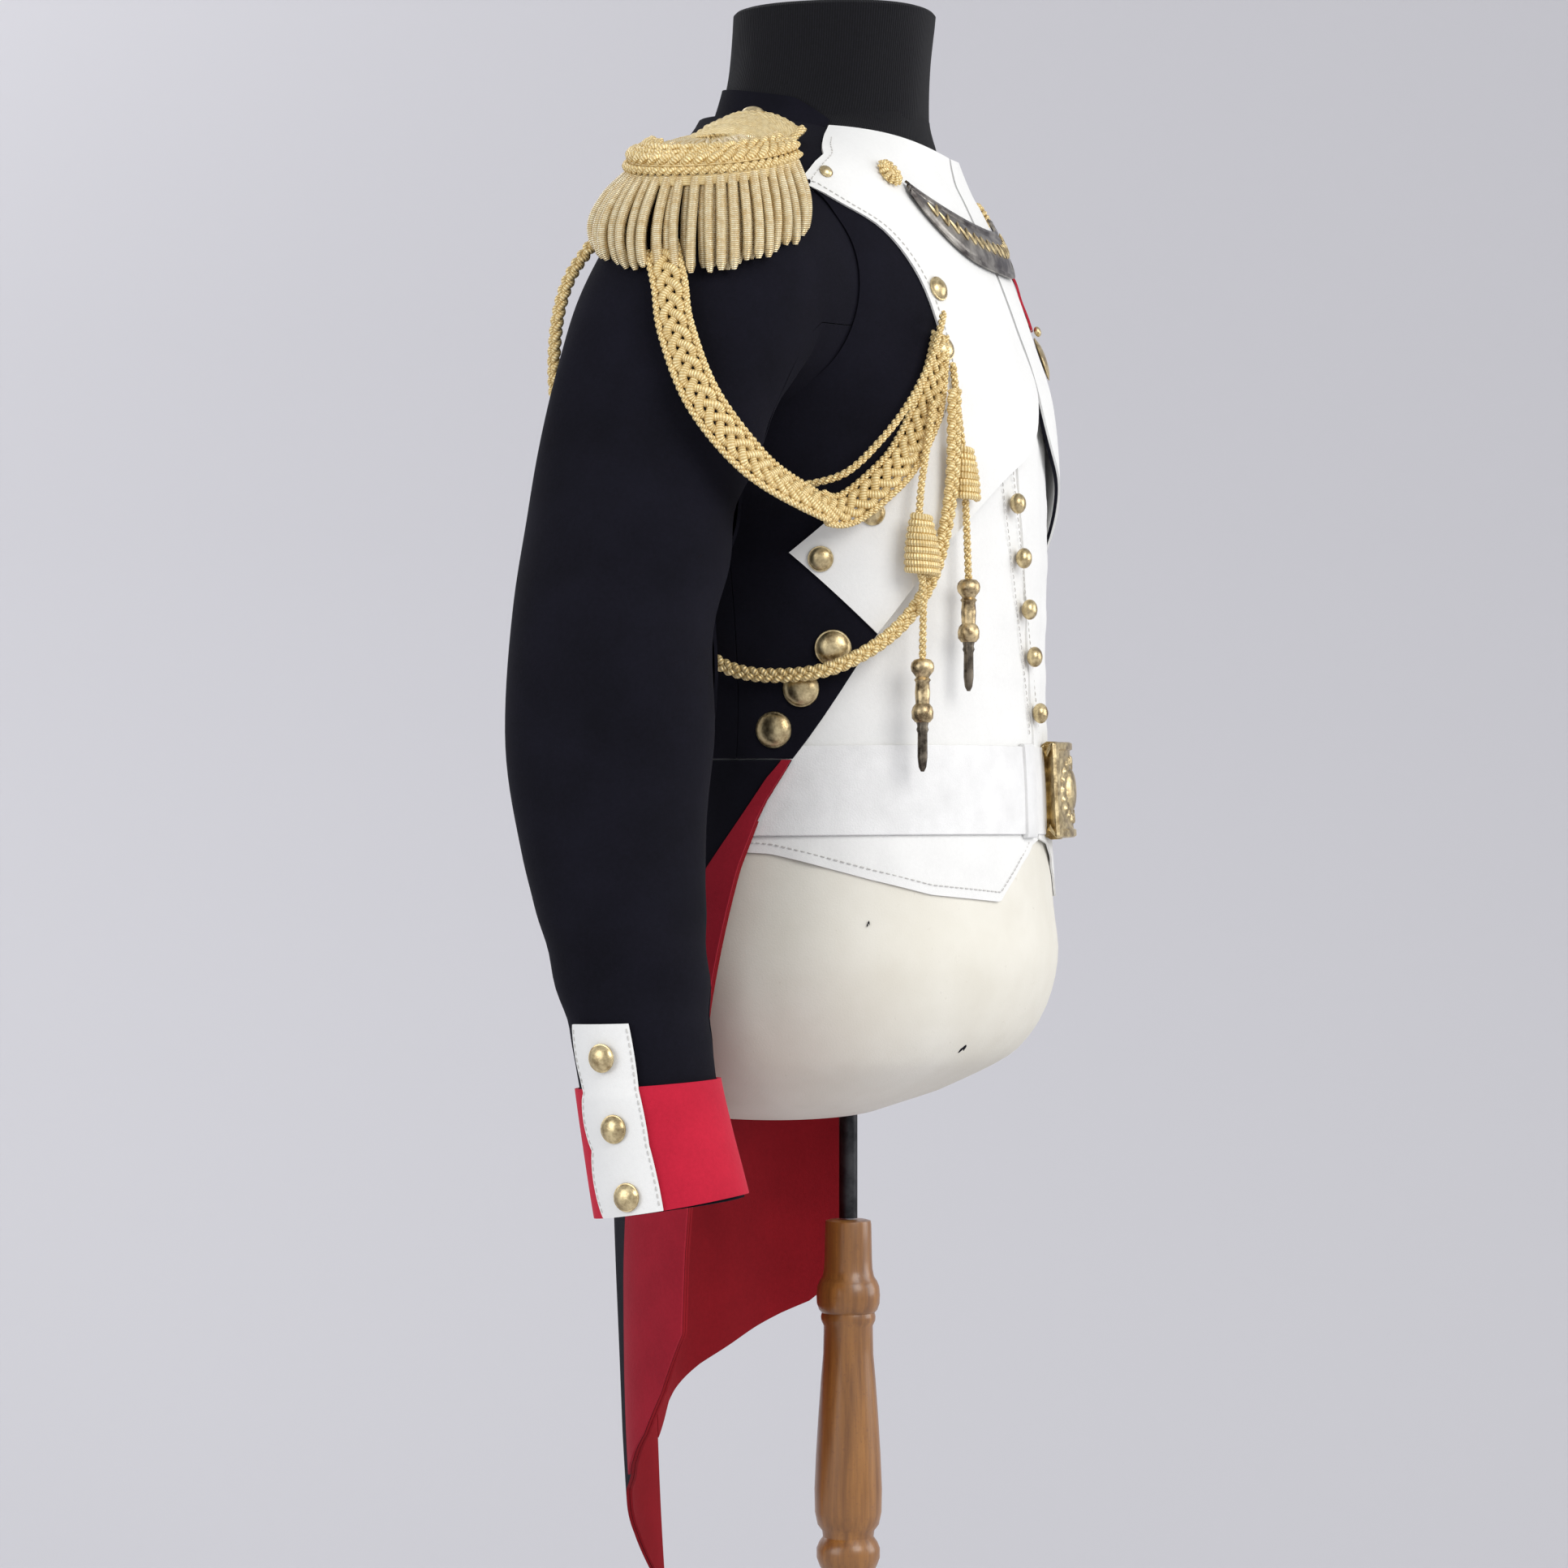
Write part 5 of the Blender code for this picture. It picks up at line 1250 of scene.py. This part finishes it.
# ---- epaulettes ----
def shoulder_top(x, y):
    """The height of the right shoulder's surface at places seen from above."""
    levels = np.linspace(1.38, 1.512, 200)
    half, front, widest, back = (np.interp(levels, COAT_CURVE[:, 0], COAT_CURVE[:, k]) for k in (1, 2, 3, 4))
    x, y = np.broadcast_arrays(np.asarray(x, float), np.asarray(y, float))
    out = np.empty(x.shape)
    for place in np.ndindex(x.shape):
        reach = np.where(y[place] < widest, widest - front, back - widest)
        power = 2 / ROUNDNESS
        inside = (abs(x[place]) / half) ** power + (np.abs(y[place] - widest) / reach) ** power < 1
        out[place] = levels[inside].max() if inside.any() else levels[0]
    return out


CRESCENT = (0.196, 0.0270, 1.4665)
CRESCENT_DEPTH = 0.0540
CRESCENT_OUT = 0.059
CRESCENT_SLOPE = 0.28
CRESCENT_CORDS = (  # how far out, how high, how thick and how tightly wound
    (0.985, 0.0020, 0.0016, 90), (0.925, 0.0082, 0.0024, 65), (0.840, 0.0108, 0.0018, 85),
    (0.755, 0.0124, 0.0025, 60), (0.665, 0.0128, 0.0015, 100),
)


def rim(turn, scale, up=0.0, side=RIGHT):
    """Points of the crescent: 0 is the front end, 90 is outwards and 180 the back end."""
    turn = np.asarray(turn, float)
    x = CRESCENT[0] + CRESCENT_OUT * scale * np.sin(np.radians(turn)) ** 0.9
    y = CRESCENT[1] - CRESCENT_DEPTH * scale * signed_power(np.cos(np.radians(turn)), 0.85)
    z = CRESCENT[2] - CRESCENT_SLOPE * (x - CRESCENT[0]) + up
    return np.stack([-x * side, y, z], axis=-1)


def epaulette_pieces(bullions):
    for side, name in SIDES:
        strap_piece(side, name)
        crescent_piece(side, name)
        fringe_piece(side, name, bullions)


def strap_points(side, x, over, lift):
    """Places on the strap: x from the neck outwards and over from -1 to 1 across it."""
    y = 0.0205 + 0.0305 * over
    height = shoulder_top(np.minimum(x, 0.156), y) + 0.0105 - 0.18 * np.maximum(0.0, x - 0.156)
    return np.stack([-x * side, y + 0 * x, height + lift], axis=-1)


def strap_crown(x, over):
    """How far the padded strap rises between its edges; it is lowest at its two ends."""
    ends = np.sqrt(np.clip((0.1990 - x) / 0.030, 0, 1) * np.clip((x - 0.124) / 0.026, 0, 1))
    return 0.0125 * (1 - np.abs(over) ** 2.2) * ends


def strap_piece(side, name):
    x, over = np.meshgrid(np.linspace(0.132, 0.1955, 90), np.linspace(-1, 1, 67), indexing="ij")
    ribs = 0.0030 * np.abs(np.sin((x - 0.132) / 0.0635 * pi * 5)) + 0.0007 * np.abs(np.sin(over * pi * 7))
    crown = strap_crown(x, over)
    outer = strap_points(side, x, over, 0.0036 + crown + ribs)
    inner = strap_points(side, x, over, 0.0004 + crown)
    piece = cloth(f"strap_lace_{name}", outer, inner, finish("lace"), "gold_lace")
    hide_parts(f"epaulette_strap_{name}")
    strands = []
    for edge in (-1, 1):
        x = np.linspace(0.133, 0.195, 60)
        line = strap_points(side, x, np.full(60, 0.97 * edge), 0.0062 + strap_crown(x, 0.97))
        for phase in (0, pi):
            strands.append((helix(line, lambda p: (0, 0, 1.0), 0.0013, 120, phase), 0.0015, 7))
    bundle(f"strap_cords_{name}", strands, finish("cord"))
    seat = strap_points(side, np.array(0.142), np.array(0.0), 0.0050 + strap_crown(0.142, 0.0))
    dome(f"strap_button_{name}", seat, (0, 0, 1.0), 0.0078, 0.0050, finish("gilt"))


def crescent_piece(side, name):
    turns, scales = np.meshgrid(np.linspace(0, 180, 120), np.linspace(0.03, 0.97, 60))
    twill = 0.0006 * np.sin(turns * 0.9 + scales * 60) * (scales < 0.62)
    dome_up = 0.0080 + 0.0075 * np.cos(scales * pi / 2) + twill
    outer = rim(turns, scales, dome_up * np.clip((1.04 - scales) / 0.12, 0.25, 1), side)
    inner = rim(turns, scales * 0.995, -0.0010, side)
    piece = cloth(f"crescent_field_{name}", outer, inner, finish("lace"), "gold_lace")
    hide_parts(f"epaulette_crescent_{name}")
    strands = []
    for scale, up, radius, turns_per_metre in CRESCENT_CORDS:
        line = rim(np.linspace(1, 179, 260), scale, up, side)
        for phase in (0, pi):
            strands.append((helix(line, lambda p: (0, 0, 1.0), radius * 0.8, turns_per_metre, phase), radius, 7))
    bundle(f"crescent_cords_{name}", strands, finish("cord"))
    sprigs = []
    for k in range(9):
        turn = 18 + 18 * k
        for lean in (-9, 9):
            line = np.array([
                rim(turn + lean * t, 0.28 + 0.30 * t, 0.0152 - 0.0034 * t + 0.0006 * sin(t * pi), side)
                for t in (0, 0.35, 0.7, 1)
            ])
            sprigs.append((spline(line, 9), np.array([0.4, 0.9, 1.2, 1.4, 1.4, 1.3, 1.1, 0.8, 0.3]) * 0.0010, 6))
    bundle(f"crescent_sprigs_{name}", sprigs, finish("bullion"))


def fringe_piece(side, name, bullions):
    """Two rows of wound bullions hanging from under the rim, sewn to a strip."""
    rng = np.random.default_rng(4 if side == RIGHT else 9)
    strands = []
    for row, (scale, fat) in enumerate(((0.955, 0.00305), (0.865, 0.0029))):
        count = bullions - row
        for k in range(count):
            turn = 2.5 + 175.0 * (k + 0.5 * row) / (count - 1 + row) + rng.uniform(-0.5, 0.5)
            top = rim(turn, scale, -0.0030, side)
            out = top * [1, 1, 0] - [-CRESCENT[0] * side, CRESCENT[1], 0]
            out /= np.linalg.norm(out)
            spread = (0.0105 + 0.0120 * max(0.0, out[1]) - 0.0020 * max(0.0, -out[1])) * rng.uniform(0.88, 1.08)
            drop = 0.0570 * (0.70 + 0.30 * abs(out[0])) * rng.uniform(0.955, 1.03)
            sway = rng.uniform(-0.0018, 0.0018, 3) * [1, 1, 0]
            steps = np.linspace(0, 1, 15)
            bow = np.sin(steps * pi * 0.72)
            line = top + out * spread * bow[:, None] + sway * steps[:, None] ** 2
            line = line - np.array([0, 0, drop]) * steps[:, None]
            radius = fat * np.minimum(1, np.sqrt(np.clip((1.02 - steps) * 14, 0.12, 1)))
            strands.append((line, radius * rng.uniform(0.93, 1.05), 10))
    piece = bundle(f"fringe_bullions_{name}", strands, finish("bullion"))
    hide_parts(f"epaulette_fringe_{name}")
    band = np.stack([rim(np.linspace(1, 179, 120), 0.985, up, side) for up in np.linspace(-0.0005, -0.0065, 7)])
    inner = np.stack([rim(np.linspace(1, 179, 120), 0.945, up, side) for up in np.linspace(-0.0005, -0.0065, 7)])
    cloth(f"fringe_head_{name}", band, inner, finish("lace"), "gold_lace")


# ---- the aiguillette on the right shoulder: its routes, as places on the coat or as points ----
def places(route):
    """The points of a route: what lies on the coat is laid there, the rest is points already."""
    return np.array([coat(*row[1:]) if row[0] == "on coat" else row for row in route], float)


def lies(angle, z, off):
    """A place of a route that is given on the coat."""
    return ("on coat", angle, z, off)


BAND_ROUTE = [
    (-0.2580, 0.0420, 1.4080), (-0.2660, 0.0340, 1.3840), (-0.2715, 0.0280, 1.3560), (-0.2750, 0.0100, 1.3140),
    (-0.2570, -0.0160, 1.2770), (-0.2160, -0.0380, 1.2570), lies(72.0, 1.2540, 0.0240), lies(61.0, 1.2740, 0.0180),
    lies(54.0, 1.2920, 0.0128), lies(47.5, 1.3180, 0.0119), lies(43.0, 1.3420, 0.0121), lies(39.5, 1.3600, 0.0131),
]
THIN_ROUTE = [
    lies(89.0, 1.2760, 0.0240), lies(86.0, 1.2700, 0.0250), lies(81.5, 1.2690, 0.0250), lies(71.5, 1.2760, 0.0245),
    lies(62.5, 1.2960, 0.0215), lies(54.5, 1.3180, 0.0190), lies(47.5, 1.3400, 0.0182), lies(41.5, 1.3600, 0.0180),
    lies(38.0, 1.3720, 0.0175),
]
BRAID_ROUTE = [
    lies(42.3, 1.3260, 0.0214), lies(43.3, 1.3040, 0.0202), lies(44.0, 1.2740, 0.0178), lies(46.0, 1.2440, 0.0158),
    lies(50.0, 1.2140, 0.0156), lies(57.0, 1.1880, 0.0164), lies(67.0, 1.1680, 0.0196), lies(78.5, 1.1550, 0.0206),
    lies(92.6, 1.1530, 0.0160), lies(105.0, 1.1620, 0.0152), lies(117.0, 1.1850, 0.0156), lies(125.0, 1.2300, 0.0160),
    (-0.1700, 0.1280, 1.2750), (-0.1960, 0.1310, 1.3200), (-0.2080, 0.1270, 1.3620), (-0.2100, 0.1180, 1.3940),
    (-0.2000, 0.1040, 1.4200),
]
STEM_ROUTES = {
    "front": [
        lies(39.2, 1.3420, 0.0152), lies(39.4, 1.3180, 0.0137), lies(39.0, 1.2800, 0.0137), lies(39.5, 1.2120, 0.0160),
    ],
    "rear": [
        lies(47.5, 1.3200, 0.0168), lies(50.0, 1.3000, 0.0190), lies(53.5, 1.2680, 0.0215), lies(55.0, 1.2380, 0.0235),
        lies(54.5, 1.2040, 0.0250), lies(54.5, 1.1620, 0.0235),
    ],
}


TAG_PROFILE = [
    (0.0016, 0.0008), (0.0050, 0.0), (0.0068, -0.0020), (0.0073, -0.0045), (0.0068, -0.0072), (0.0050, -0.0095),
    (0.0040, -0.0110), (0.0052, -0.0125), (0.0042, -0.0140), (0.0047, -0.0200), (0.0043, -0.0270), (0.0060, -0.0290),
    (0.0068, -0.0320), (0.0066, -0.0360), (0.0046, -0.0385),
]
SPIKE_PROFILE = [
    (0.0040, -0.0380), (0.0032, -0.0410), (0.0038, -0.0430), (0.0030, -0.0450), (0.0031, -0.0600), (0.0024, -0.0660),
    (0.0010, -0.0688),
]


def from_arm(point):
    """Outward for the band: away from the arm beside it, and from the chest elsewhere."""
    return (point[0] + 0.16 if point[0] < -0.2 else point[0] * 0.8, point[1] - 0.03, 0.05)


def aiguillette_pieces():
    cord, tag = finish("cord"), finish("tag")
    line = spline(places(BAND_ROUTE), 420)
    share = np.linspace(0, 1, 420)
    half = 0.0115 - 0.0065 * np.maximum(0, share - 0.86) / 0.14
    strands = []
    for k in range(3):
        phase = 2 * pi * k / 3
        strands.append((plait(line, from_arm, half * 0.50, 0.030, phase, 0.0011), 0.0027 * half / 0.0115, 9))
    for edge in (-1, 1):
        over = frames_along(line, from_arm)[2]
        side_line = line + over * (half * 0.83 * edge)[:, None]
        for phase in (0, pi):
            strands.append((helix(side_line, from_arm, 0.0010, 120, phase), 0.00135, 9))
    band = bundle("aiguillette_plaited_band", strands, cord)
    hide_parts("aiguillette_band")

    line = spline(places(THIN_ROUTE), 260)
    strands = [(helix(line, away, 0.00115, 110, phase), 0.00135, 7) for phase in (0, pi)]
    thin = bundle("aiguillette_twisted_cord", strands, cord)
    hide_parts("aiguillette_thin_cord")

    line = spline(places(BRAID_ROUTE), 620)
    strands = [(plait(line, away, 0.0029, 0.019, 2 * pi * k / 3, 0.0012), 0.0019, 9) for k in range(3)]
    braid = bundle("aiguillette_round_braid", strands, cord)
    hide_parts("aiguillette_braid")

    for name, route in STEM_ROUTES.items():
        line = spline(places(route), 180)
        strands = [(helix(line, away, 0.00115, 120, phase), 0.00135, 7) for phase in (0, pi)]
        stem = bundle(f"aiguillette_{name}_stem", strands, cord)
        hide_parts(f"aiguillette_{name}_cord")
        x, y, z = line[-1]
        made = lathe(f"tag_{name}", [(r, z + h) for r, h in TAG_PROFILE], tag, (x, y), 28)
        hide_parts(f"aiguillette_tag_{name}")
        spike = lathe(f"tag_spike_{name}", [(r, z + h) for r, h in SPIKE_PROFILE], finish("tip"),
                      (x, y), 28)
    knots()


def knots():
    """The wound barrel knots round the two stems, each narrow at its top."""
    strands = []
    for angle, z, low, high, wide in ((39.0, 1.2920, 0.0153, 0.030, 0.0068), (54.2, 1.2500, 0.0228, 0.035, 0.0092)):
        top, foot = coat(angle, z, low), coat(angle, z - high, low)
        out = away(top)
        over = np.cross(out, (0, 0, 1.0))
        share = np.linspace(0, 1, 190)
        turn = share * 2 * pi * high / 0.0040
        grown = wide * (0.55 + 0.45 * np.sin(np.clip(share * 1.25, 0, 1) * pi / 2))
        ring = over * np.cos(turn)[:, None] + out * 0.8 * np.sin(turn)[:, None]
        strands.append((top + (foot - top) * share[:, None] + ring * grown[:, None], 0.0024, 8))
    bundle("aiguillette_knots", strands, finish("cord"))


# ---- the gorget, the medal and the stage ----
def gorget_edges(angle):
    """The heights of the plate's lower and upper edges."""
    bend = (np.abs(angle) / 31.5) ** 2
    return 1.408 + 0.040 * bend**1.5, 1.438 + 0.018 * bend


def gorget_pieces():
    """A plain crescent plate with a raised rim and a chased border, hung from two rosettes."""
    angle, share = np.meshgrid(np.linspace(-31.4, 31.4, 150), np.linspace(0, 1, 40))
    low, high = gorget_edges(angle)
    z = low + (high - low) * share
    edge = np.minimum(share, 1 - share) * (high - low)
    swell = 0.0022 * np.sin(share * pi)
    border = 0.0012 * (edge < 0.0028) - 0.0005 * (np.abs(edge - 0.0042) < 0.0010)
    side = np.where(angle < 0, -1, 1)
    points = {}
    for key, off in (("outer", GORGET_LAYER[1]), ("inner", GORGET_LAYER[0])):
        lift = off + swell + (border if key == "outer" else 0)
        whole = coat(np.abs(angle), z, lift)
        points[key] = whole * np.stack([side, np.ones_like(z), np.ones_like(z)], axis=-1)
    # the plate's silver is darkened to paint its dark reflections
    plate = cloth("gorget_plate", points["outer"], points["inner"], finish("silver"), "gorget_silver")
    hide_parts("gorget")
    leaves = []
    for k in range(15):
        turn = -24.5 + 3.5 * k
        centre = sum(gorget_edges(turn)) / 2
        for lean in (-1, 1):
            flat = [(turn + 1.7 * t * lean, centre + 0.0075 * t - 0.003) for t in (0, 0.4, 0.8, 1.1)]
            line = [
                coat(abs(a), h, GORGET_LAYER[1] + 0.0024) * np.array([1 if a >= 0 else -1, 1, 1]) for a, h in flat
            ]
            leaves.append((spline(line, 7), np.array([0.5, 1.0, 1.3, 1.3, 1.1, 0.8, 0.3]) * 0.0010, 6))
    bundle("gorget_chasing", leaves, finish("gilt"))
    for side, name in SIDES:
        seat = coat(36.4, 1.4590, TRIM_LAYER[1] + 0.0002, side)
        out = coat(36.4, 1.4590, 0.03, side) - seat
        rosette = dome(f"rosette_{name}", seat, out, 0.0078, 0.0042, finish("cord"))
        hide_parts(f"gorget_rosette_{name}")
        out = out / np.linalg.norm(out)
        over = np.cross(out, (0, 0, 1.0))
        over /= np.linalg.norm(over)
        up = np.cross(over, out)
        petals = []
        for k in range(12):
            turn = 2 * pi * k / 12
            way = over * cos(turn) + up * sin(turn)
            line = np.array([
                seat + out * (0.0015 + 0.0028 * sin(t * pi)) + way * 0.0098 * t for t in (0.25, 0.5, 0.75, 1)
            ])
            petals.append((spline(line, 7), np.array([0.5, 0.9, 1.2, 1.5, 1.6, 1.3, 0.5]) * 0.0011, 6))
        bundle(f"rosette_petals_{name}", petals, finish("cord"))


MEDAL_TURN = 22.0


def medal_pieces():
    off = TRIM_LAYER[1] + 0.0004
    over, share = np.meshgrid(np.linspace(-1, 1, 24), np.linspace(0, 1, 40))
    wave = 0.0006 * np.sin(share * 9) * (1 - share)
    angle, z = MEDAL_TURN + 3.6 * over * (1 - 0.25 * share), 1.416 - 0.036 * share
    outer, inner = coat(angle, z, off + 0.0015 + wave, LEFT), coat(angle, z, off + wave, LEFT)
    ribbon = cloth("medal_ribbon_silk", outer, inner, finish("silk"), "ribbon_silk")
    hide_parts("medal_ribbon")
    seat = coat(MEDAL_TURN, 1.3610, off - 0.0001, LEFT)
    out = coat(MEDAL_TURN, 1.3610, 0.03, LEFT) - seat
    disc = dome("medal_disc_plain", seat, out, 0.0150, 0.0038, finish("gilt"))
    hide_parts("medal_disc")
    loop = coat(MEDAL_TURN, 1.3785, off + 0.0018, LEFT)
    dome("medal_knob", loop, out, 0.0036, 0.0046, finish("gilt"), ball=True)


PAPER_WIDE, PAPER_DEEP = 14.0, 11.0
PAPER_NEAR = -4.5  # where the paper starts in front of the form, along the view
PAPER_FLAT = 2.2  # how far behind the form it stays on the floor
PAPER_BEND = 1.6  # radius of its turn up


def stage_pieces(settings):
    backdrop = bpy.data.materials.new("seamless paper")
    backdrop.use_nodes = True
    shader = backdrop.node_tree.nodes["Principled BSDF"]
    shader.inputs["Base Color"].default_value = (*settings.paper, 1.0)
    shader.inputs["Roughness"].default_value = 0.95
    shader.inputs["Specular IOR Level"].default_value = 0.05
    bpy.ops.object.select_all(action="DESELECT")
    bpy.ops.mesh.primitive_grid_add(x_subdivisions=40, y_subdivisions=40, size=1.0)
    paper = bpy.context.object
    paper.name = "studio_sweep"
    ahead = np.array([0.956, 0.292, 0.0])
    over = np.array([0.292, -0.956, 0.0])
    for vert in paper.data.vertices:
        wide, far = vert.co.x * PAPER_WIDE, (vert.co.y + 0.5) * PAPER_DEEP + PAPER_NEAR
        bend = max(0.0, far - PAPER_FLAT)
        turn = min(bend / PAPER_BEND, pi / 2)
        flat = PAPER_FLAT + PAPER_BEND * sin(turn) if bend > 0 else far
        rise = PAPER_BEND * (1 - cos(turn)) + max(0.0, bend - PAPER_BEND * pi / 2)
        vert.co = Vector(ahead * flat + over * wide + np.array([0, 0, rise - 0.0005]))
    paper.data.shade_smooth()
    paper.data.materials.append(backdrop)

    lamps = (
        ("key", (-1.9, -2.6, 2.7), (0.0, 0.0, 1.15), 1.9, settings.key_power, (1.0, 0.985, 0.965)),
        ("fill", (-3.0, 1.9, 1.9), (0.0, 0.0, 1.10), 2.2, settings.fill_power, (0.965, 0.98, 1.0)),
        ("front", (1.2, -3.0, 1.6), (0.0, 0.0, 1.15), 1.8, settings.front_power, (1.0, 1.0, 1.0)),
        ("back wash", (2.6, 3.0, 3.0), (3.2, 0.9, 1.0), 2.6, settings.back_power, (0.98, 0.98, 1.0)),
    )
    for name, at, to, size, power, colour in lamps:
        bpy.ops.object.light_add(type="AREA", location=at)
        lamp = bpy.context.object
        lamp.name = lamp.data.name = name
        lamp.data.size, lamp.data.energy, lamp.data.color = size, power, colour
        lamp.rotation_euler = (Vector(to) - Vector(at)).to_track_quat("-Z", "Y").to_euler()

    world = bpy.data.worlds.new("studio")
    world.use_nodes = True
    world.node_tree.nodes["Background"].inputs["Color"].default_value = (0.95, 0.96, 1.0, 1.0)
    world.node_tree.nodes["Background"].inputs["Strength"].default_value = settings.room_light
    bpy.context.scene.world = world

    bpy.ops.object.camera_add(location=settings.camera_place)
    camera = bpy.context.object
    camera.rotation_euler = Vector(ahead).to_track_quat("-Z", "Y").to_euler()
    camera.data.lens, camera.data.sensor_width = settings.lens, 36.0
    camera.data.dof.use_dof = False
    bpy.context.scene.camera = camera
    bpy.context.scene.view_settings.view_transform = "Standard"


# ---- the add-on ----
class TunicSettings(PropertyGroup):
    stitches: IntProperty(name="Stitches", description="1 sews the visible rows of stitches, 0 leaves them out",
                          default=1, min=0, max=1)
    bullions: IntProperty(name="Bullions", description="How many bullions hang in the outer row of each fringe",
                          default=24, min=12, max=40)


class StageSettings(PropertyGroup):
    paper: FloatVectorProperty(name="Paper", description="Colour of the seamless paper", subtype="COLOR",
                               default=(0.62, 0.615, 0.64), min=0.0, max=1.0)
    key_power: FloatProperty(name="Key", description="Power of the key light in watts", default=62.0, min=0.0)
    fill_power: FloatProperty(name="Fill", description="Power of the fill light in watts", default=42.0, min=0.0)
    front_power: FloatProperty(name="Front", description="Power of the light on the tunic's front", default=34.0, min=0.0)
    back_power: FloatProperty(name="Back wash", description="Power of the light on the paper", default=46.0, min=0.0)
    room_light: FloatProperty(name="Room light", description="Strength of the even light", default=0.62, min=0.0)
    lens: FloatProperty(name="Lens", description="Focal length in millimetres", default=105.9, min=10.0)
    camera_place: FloatVectorProperty(name="Camera", description="Where the camera stands", subtype="XYZ",
                                      default=(-2.880, -0.836, 1.085))


FORM_MARKS = [(28.5, 0.919, 0.0030, 0.0013), (65.0, 0.999, 0.0012, 0.0008)]


class PieceOperator:
    """What the operators share: they build their pieces, and fail if the frame isn't loaded."""

    bl_options = {"REGISTER", "UNDO"}

    def execute(self, context):
        if not frame["nodes"]:
            raise RuntimeError("the frame has no nodes")
        self.build(context.scene.tunic)
        return {"FINISHED"}


class TUNIC_OT_form(PieceOperator, Operator):
    """Build the dress form and its stand"""

    bl_idname = "tunic.form"
    bl_label = "Dress form and stand"

    def build(self, settings):
        form_pieces(FORM_MARKS)
        stand_pieces()


class TUNIC_OT_coat(PieceOperator, Operator):
    """Build the coat's fronts, back, lapels and collar"""

    bl_idname = "tunic.coat"
    bl_label = "Coat body"

    def build(self, settings):
        coat_pieces(settings.stitches)


class TUNIC_OT_tails(PieceOperator, Operator):
    """Build the tails, their lining and their turnbacks"""

    bl_idname = "tunic.tails"
    bl_label = "Tails"

    def build(self, settings):
        tail_pieces()


class TUNIC_OT_sleeves(PieceOperator, Operator):
    """Build the sleeves, cuffs and cuff flaps"""

    bl_idname = "tunic.sleeves"
    bl_label = "Sleeves"

    def build(self, settings):
        sleeve_pieces(settings.stitches)


class TUNIC_OT_vest(PieceOperator, Operator):
    """Build the waistcoat front and its ball buttons"""

    bl_idname = "tunic.vest"
    bl_label = "Waistcoat front"

    def build(self, settings):
        vest_pieces(settings.stitches)


class TUNIC_OT_belt(PieceOperator, Operator):
    """Build the belt, its keeper and its buckle"""

    bl_idname = "tunic.belt"
    bl_label = "Belt"

    def build(self, settings):
        belt_pieces()


class TUNIC_OT_epaulettes(PieceOperator, Operator):
    """Build the epaulettes and their fringes"""

    bl_idname = "tunic.epaulettes"
    bl_label = "Epaulettes"

    def build(self, settings):
        epaulette_pieces(settings.bullions)


class TUNIC_OT_aiguillette(PieceOperator, Operator):
    """Build the shoulder cords with their knots and metal tags"""

    bl_idname = "tunic.aiguillette"
    bl_label = "Shoulder cords"

    def build(self, settings):
        aiguillette_pieces()


class TUNIC_OT_ornaments(PieceOperator, Operator):
    """Build the gorget and the medal"""

    bl_idname = "tunic.ornaments"
    bl_label = "Gorget and medal"

    def build(self, settings):
        gorget_pieces()
        medal_pieces()


class TUNIC_OT_stage(PieceOperator, Operator):
    """Set up the paper, the lights and the camera"""

    bl_idname = "tunic.stage"
    bl_label = "Stage"

    def execute(self, context):
        stage_pieces(context.scene.tunic_stage)
        return {"FINISHED"}


OPERATORS = (
    TUNIC_OT_form, TUNIC_OT_coat, TUNIC_OT_tails, TUNIC_OT_sleeves, TUNIC_OT_vest, TUNIC_OT_belt,
    TUNIC_OT_epaulettes, TUNIC_OT_aiguillette, TUNIC_OT_ornaments, TUNIC_OT_stage,
)


class TUNIC_PT_panel(Panel):
    """Settings and pieces of the dress tunic"""

    bl_idname = "TUNIC_PT_panel"
    bl_label = "Dress Tunic"
    bl_space_type = "VIEW_3D"
    bl_region_type = "UI"
    bl_category = "Tunic"

    def draw(self, context):
        for settings in (context.scene.tunic, context.scene.tunic_stage):
            for name in settings.bl_rna.properties.keys():
                if name not in ("rna_type", "name"):
                    self.layout.prop(settings, name)
        for made in OPERATORS:
            self.layout.operator(made.bl_idname)


CLASSES = (TunicSettings, StageSettings, *OPERATORS, TUNIC_PT_panel)


def register():
    for made in CLASSES:
        bpy.utils.register_class(made)
    bpy.types.Scene.tunic = PointerProperty(type=TunicSettings)
    bpy.types.Scene.tunic_stage = PointerProperty(type=StageSettings)


def unregister():
    del bpy.types.Scene.tunic_stage
    del bpy.types.Scene.tunic
    for made in reversed(CLASSES):
        bpy.utils.unregister_class(made)


def main():
    register()
    bpy.ops.tunic.form()
    bpy.ops.tunic.coat()
    bpy.ops.tunic.tails()
    bpy.ops.tunic.sleeves()
    bpy.ops.tunic.vest()
    bpy.ops.tunic.belt()
    bpy.ops.tunic.epaulettes()
    bpy.ops.tunic.aiguillette()
    bpy.ops.tunic.ornaments()
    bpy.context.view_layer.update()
    bpy.ops.tunic.stage()


if __name__ == "__main__":
    main()
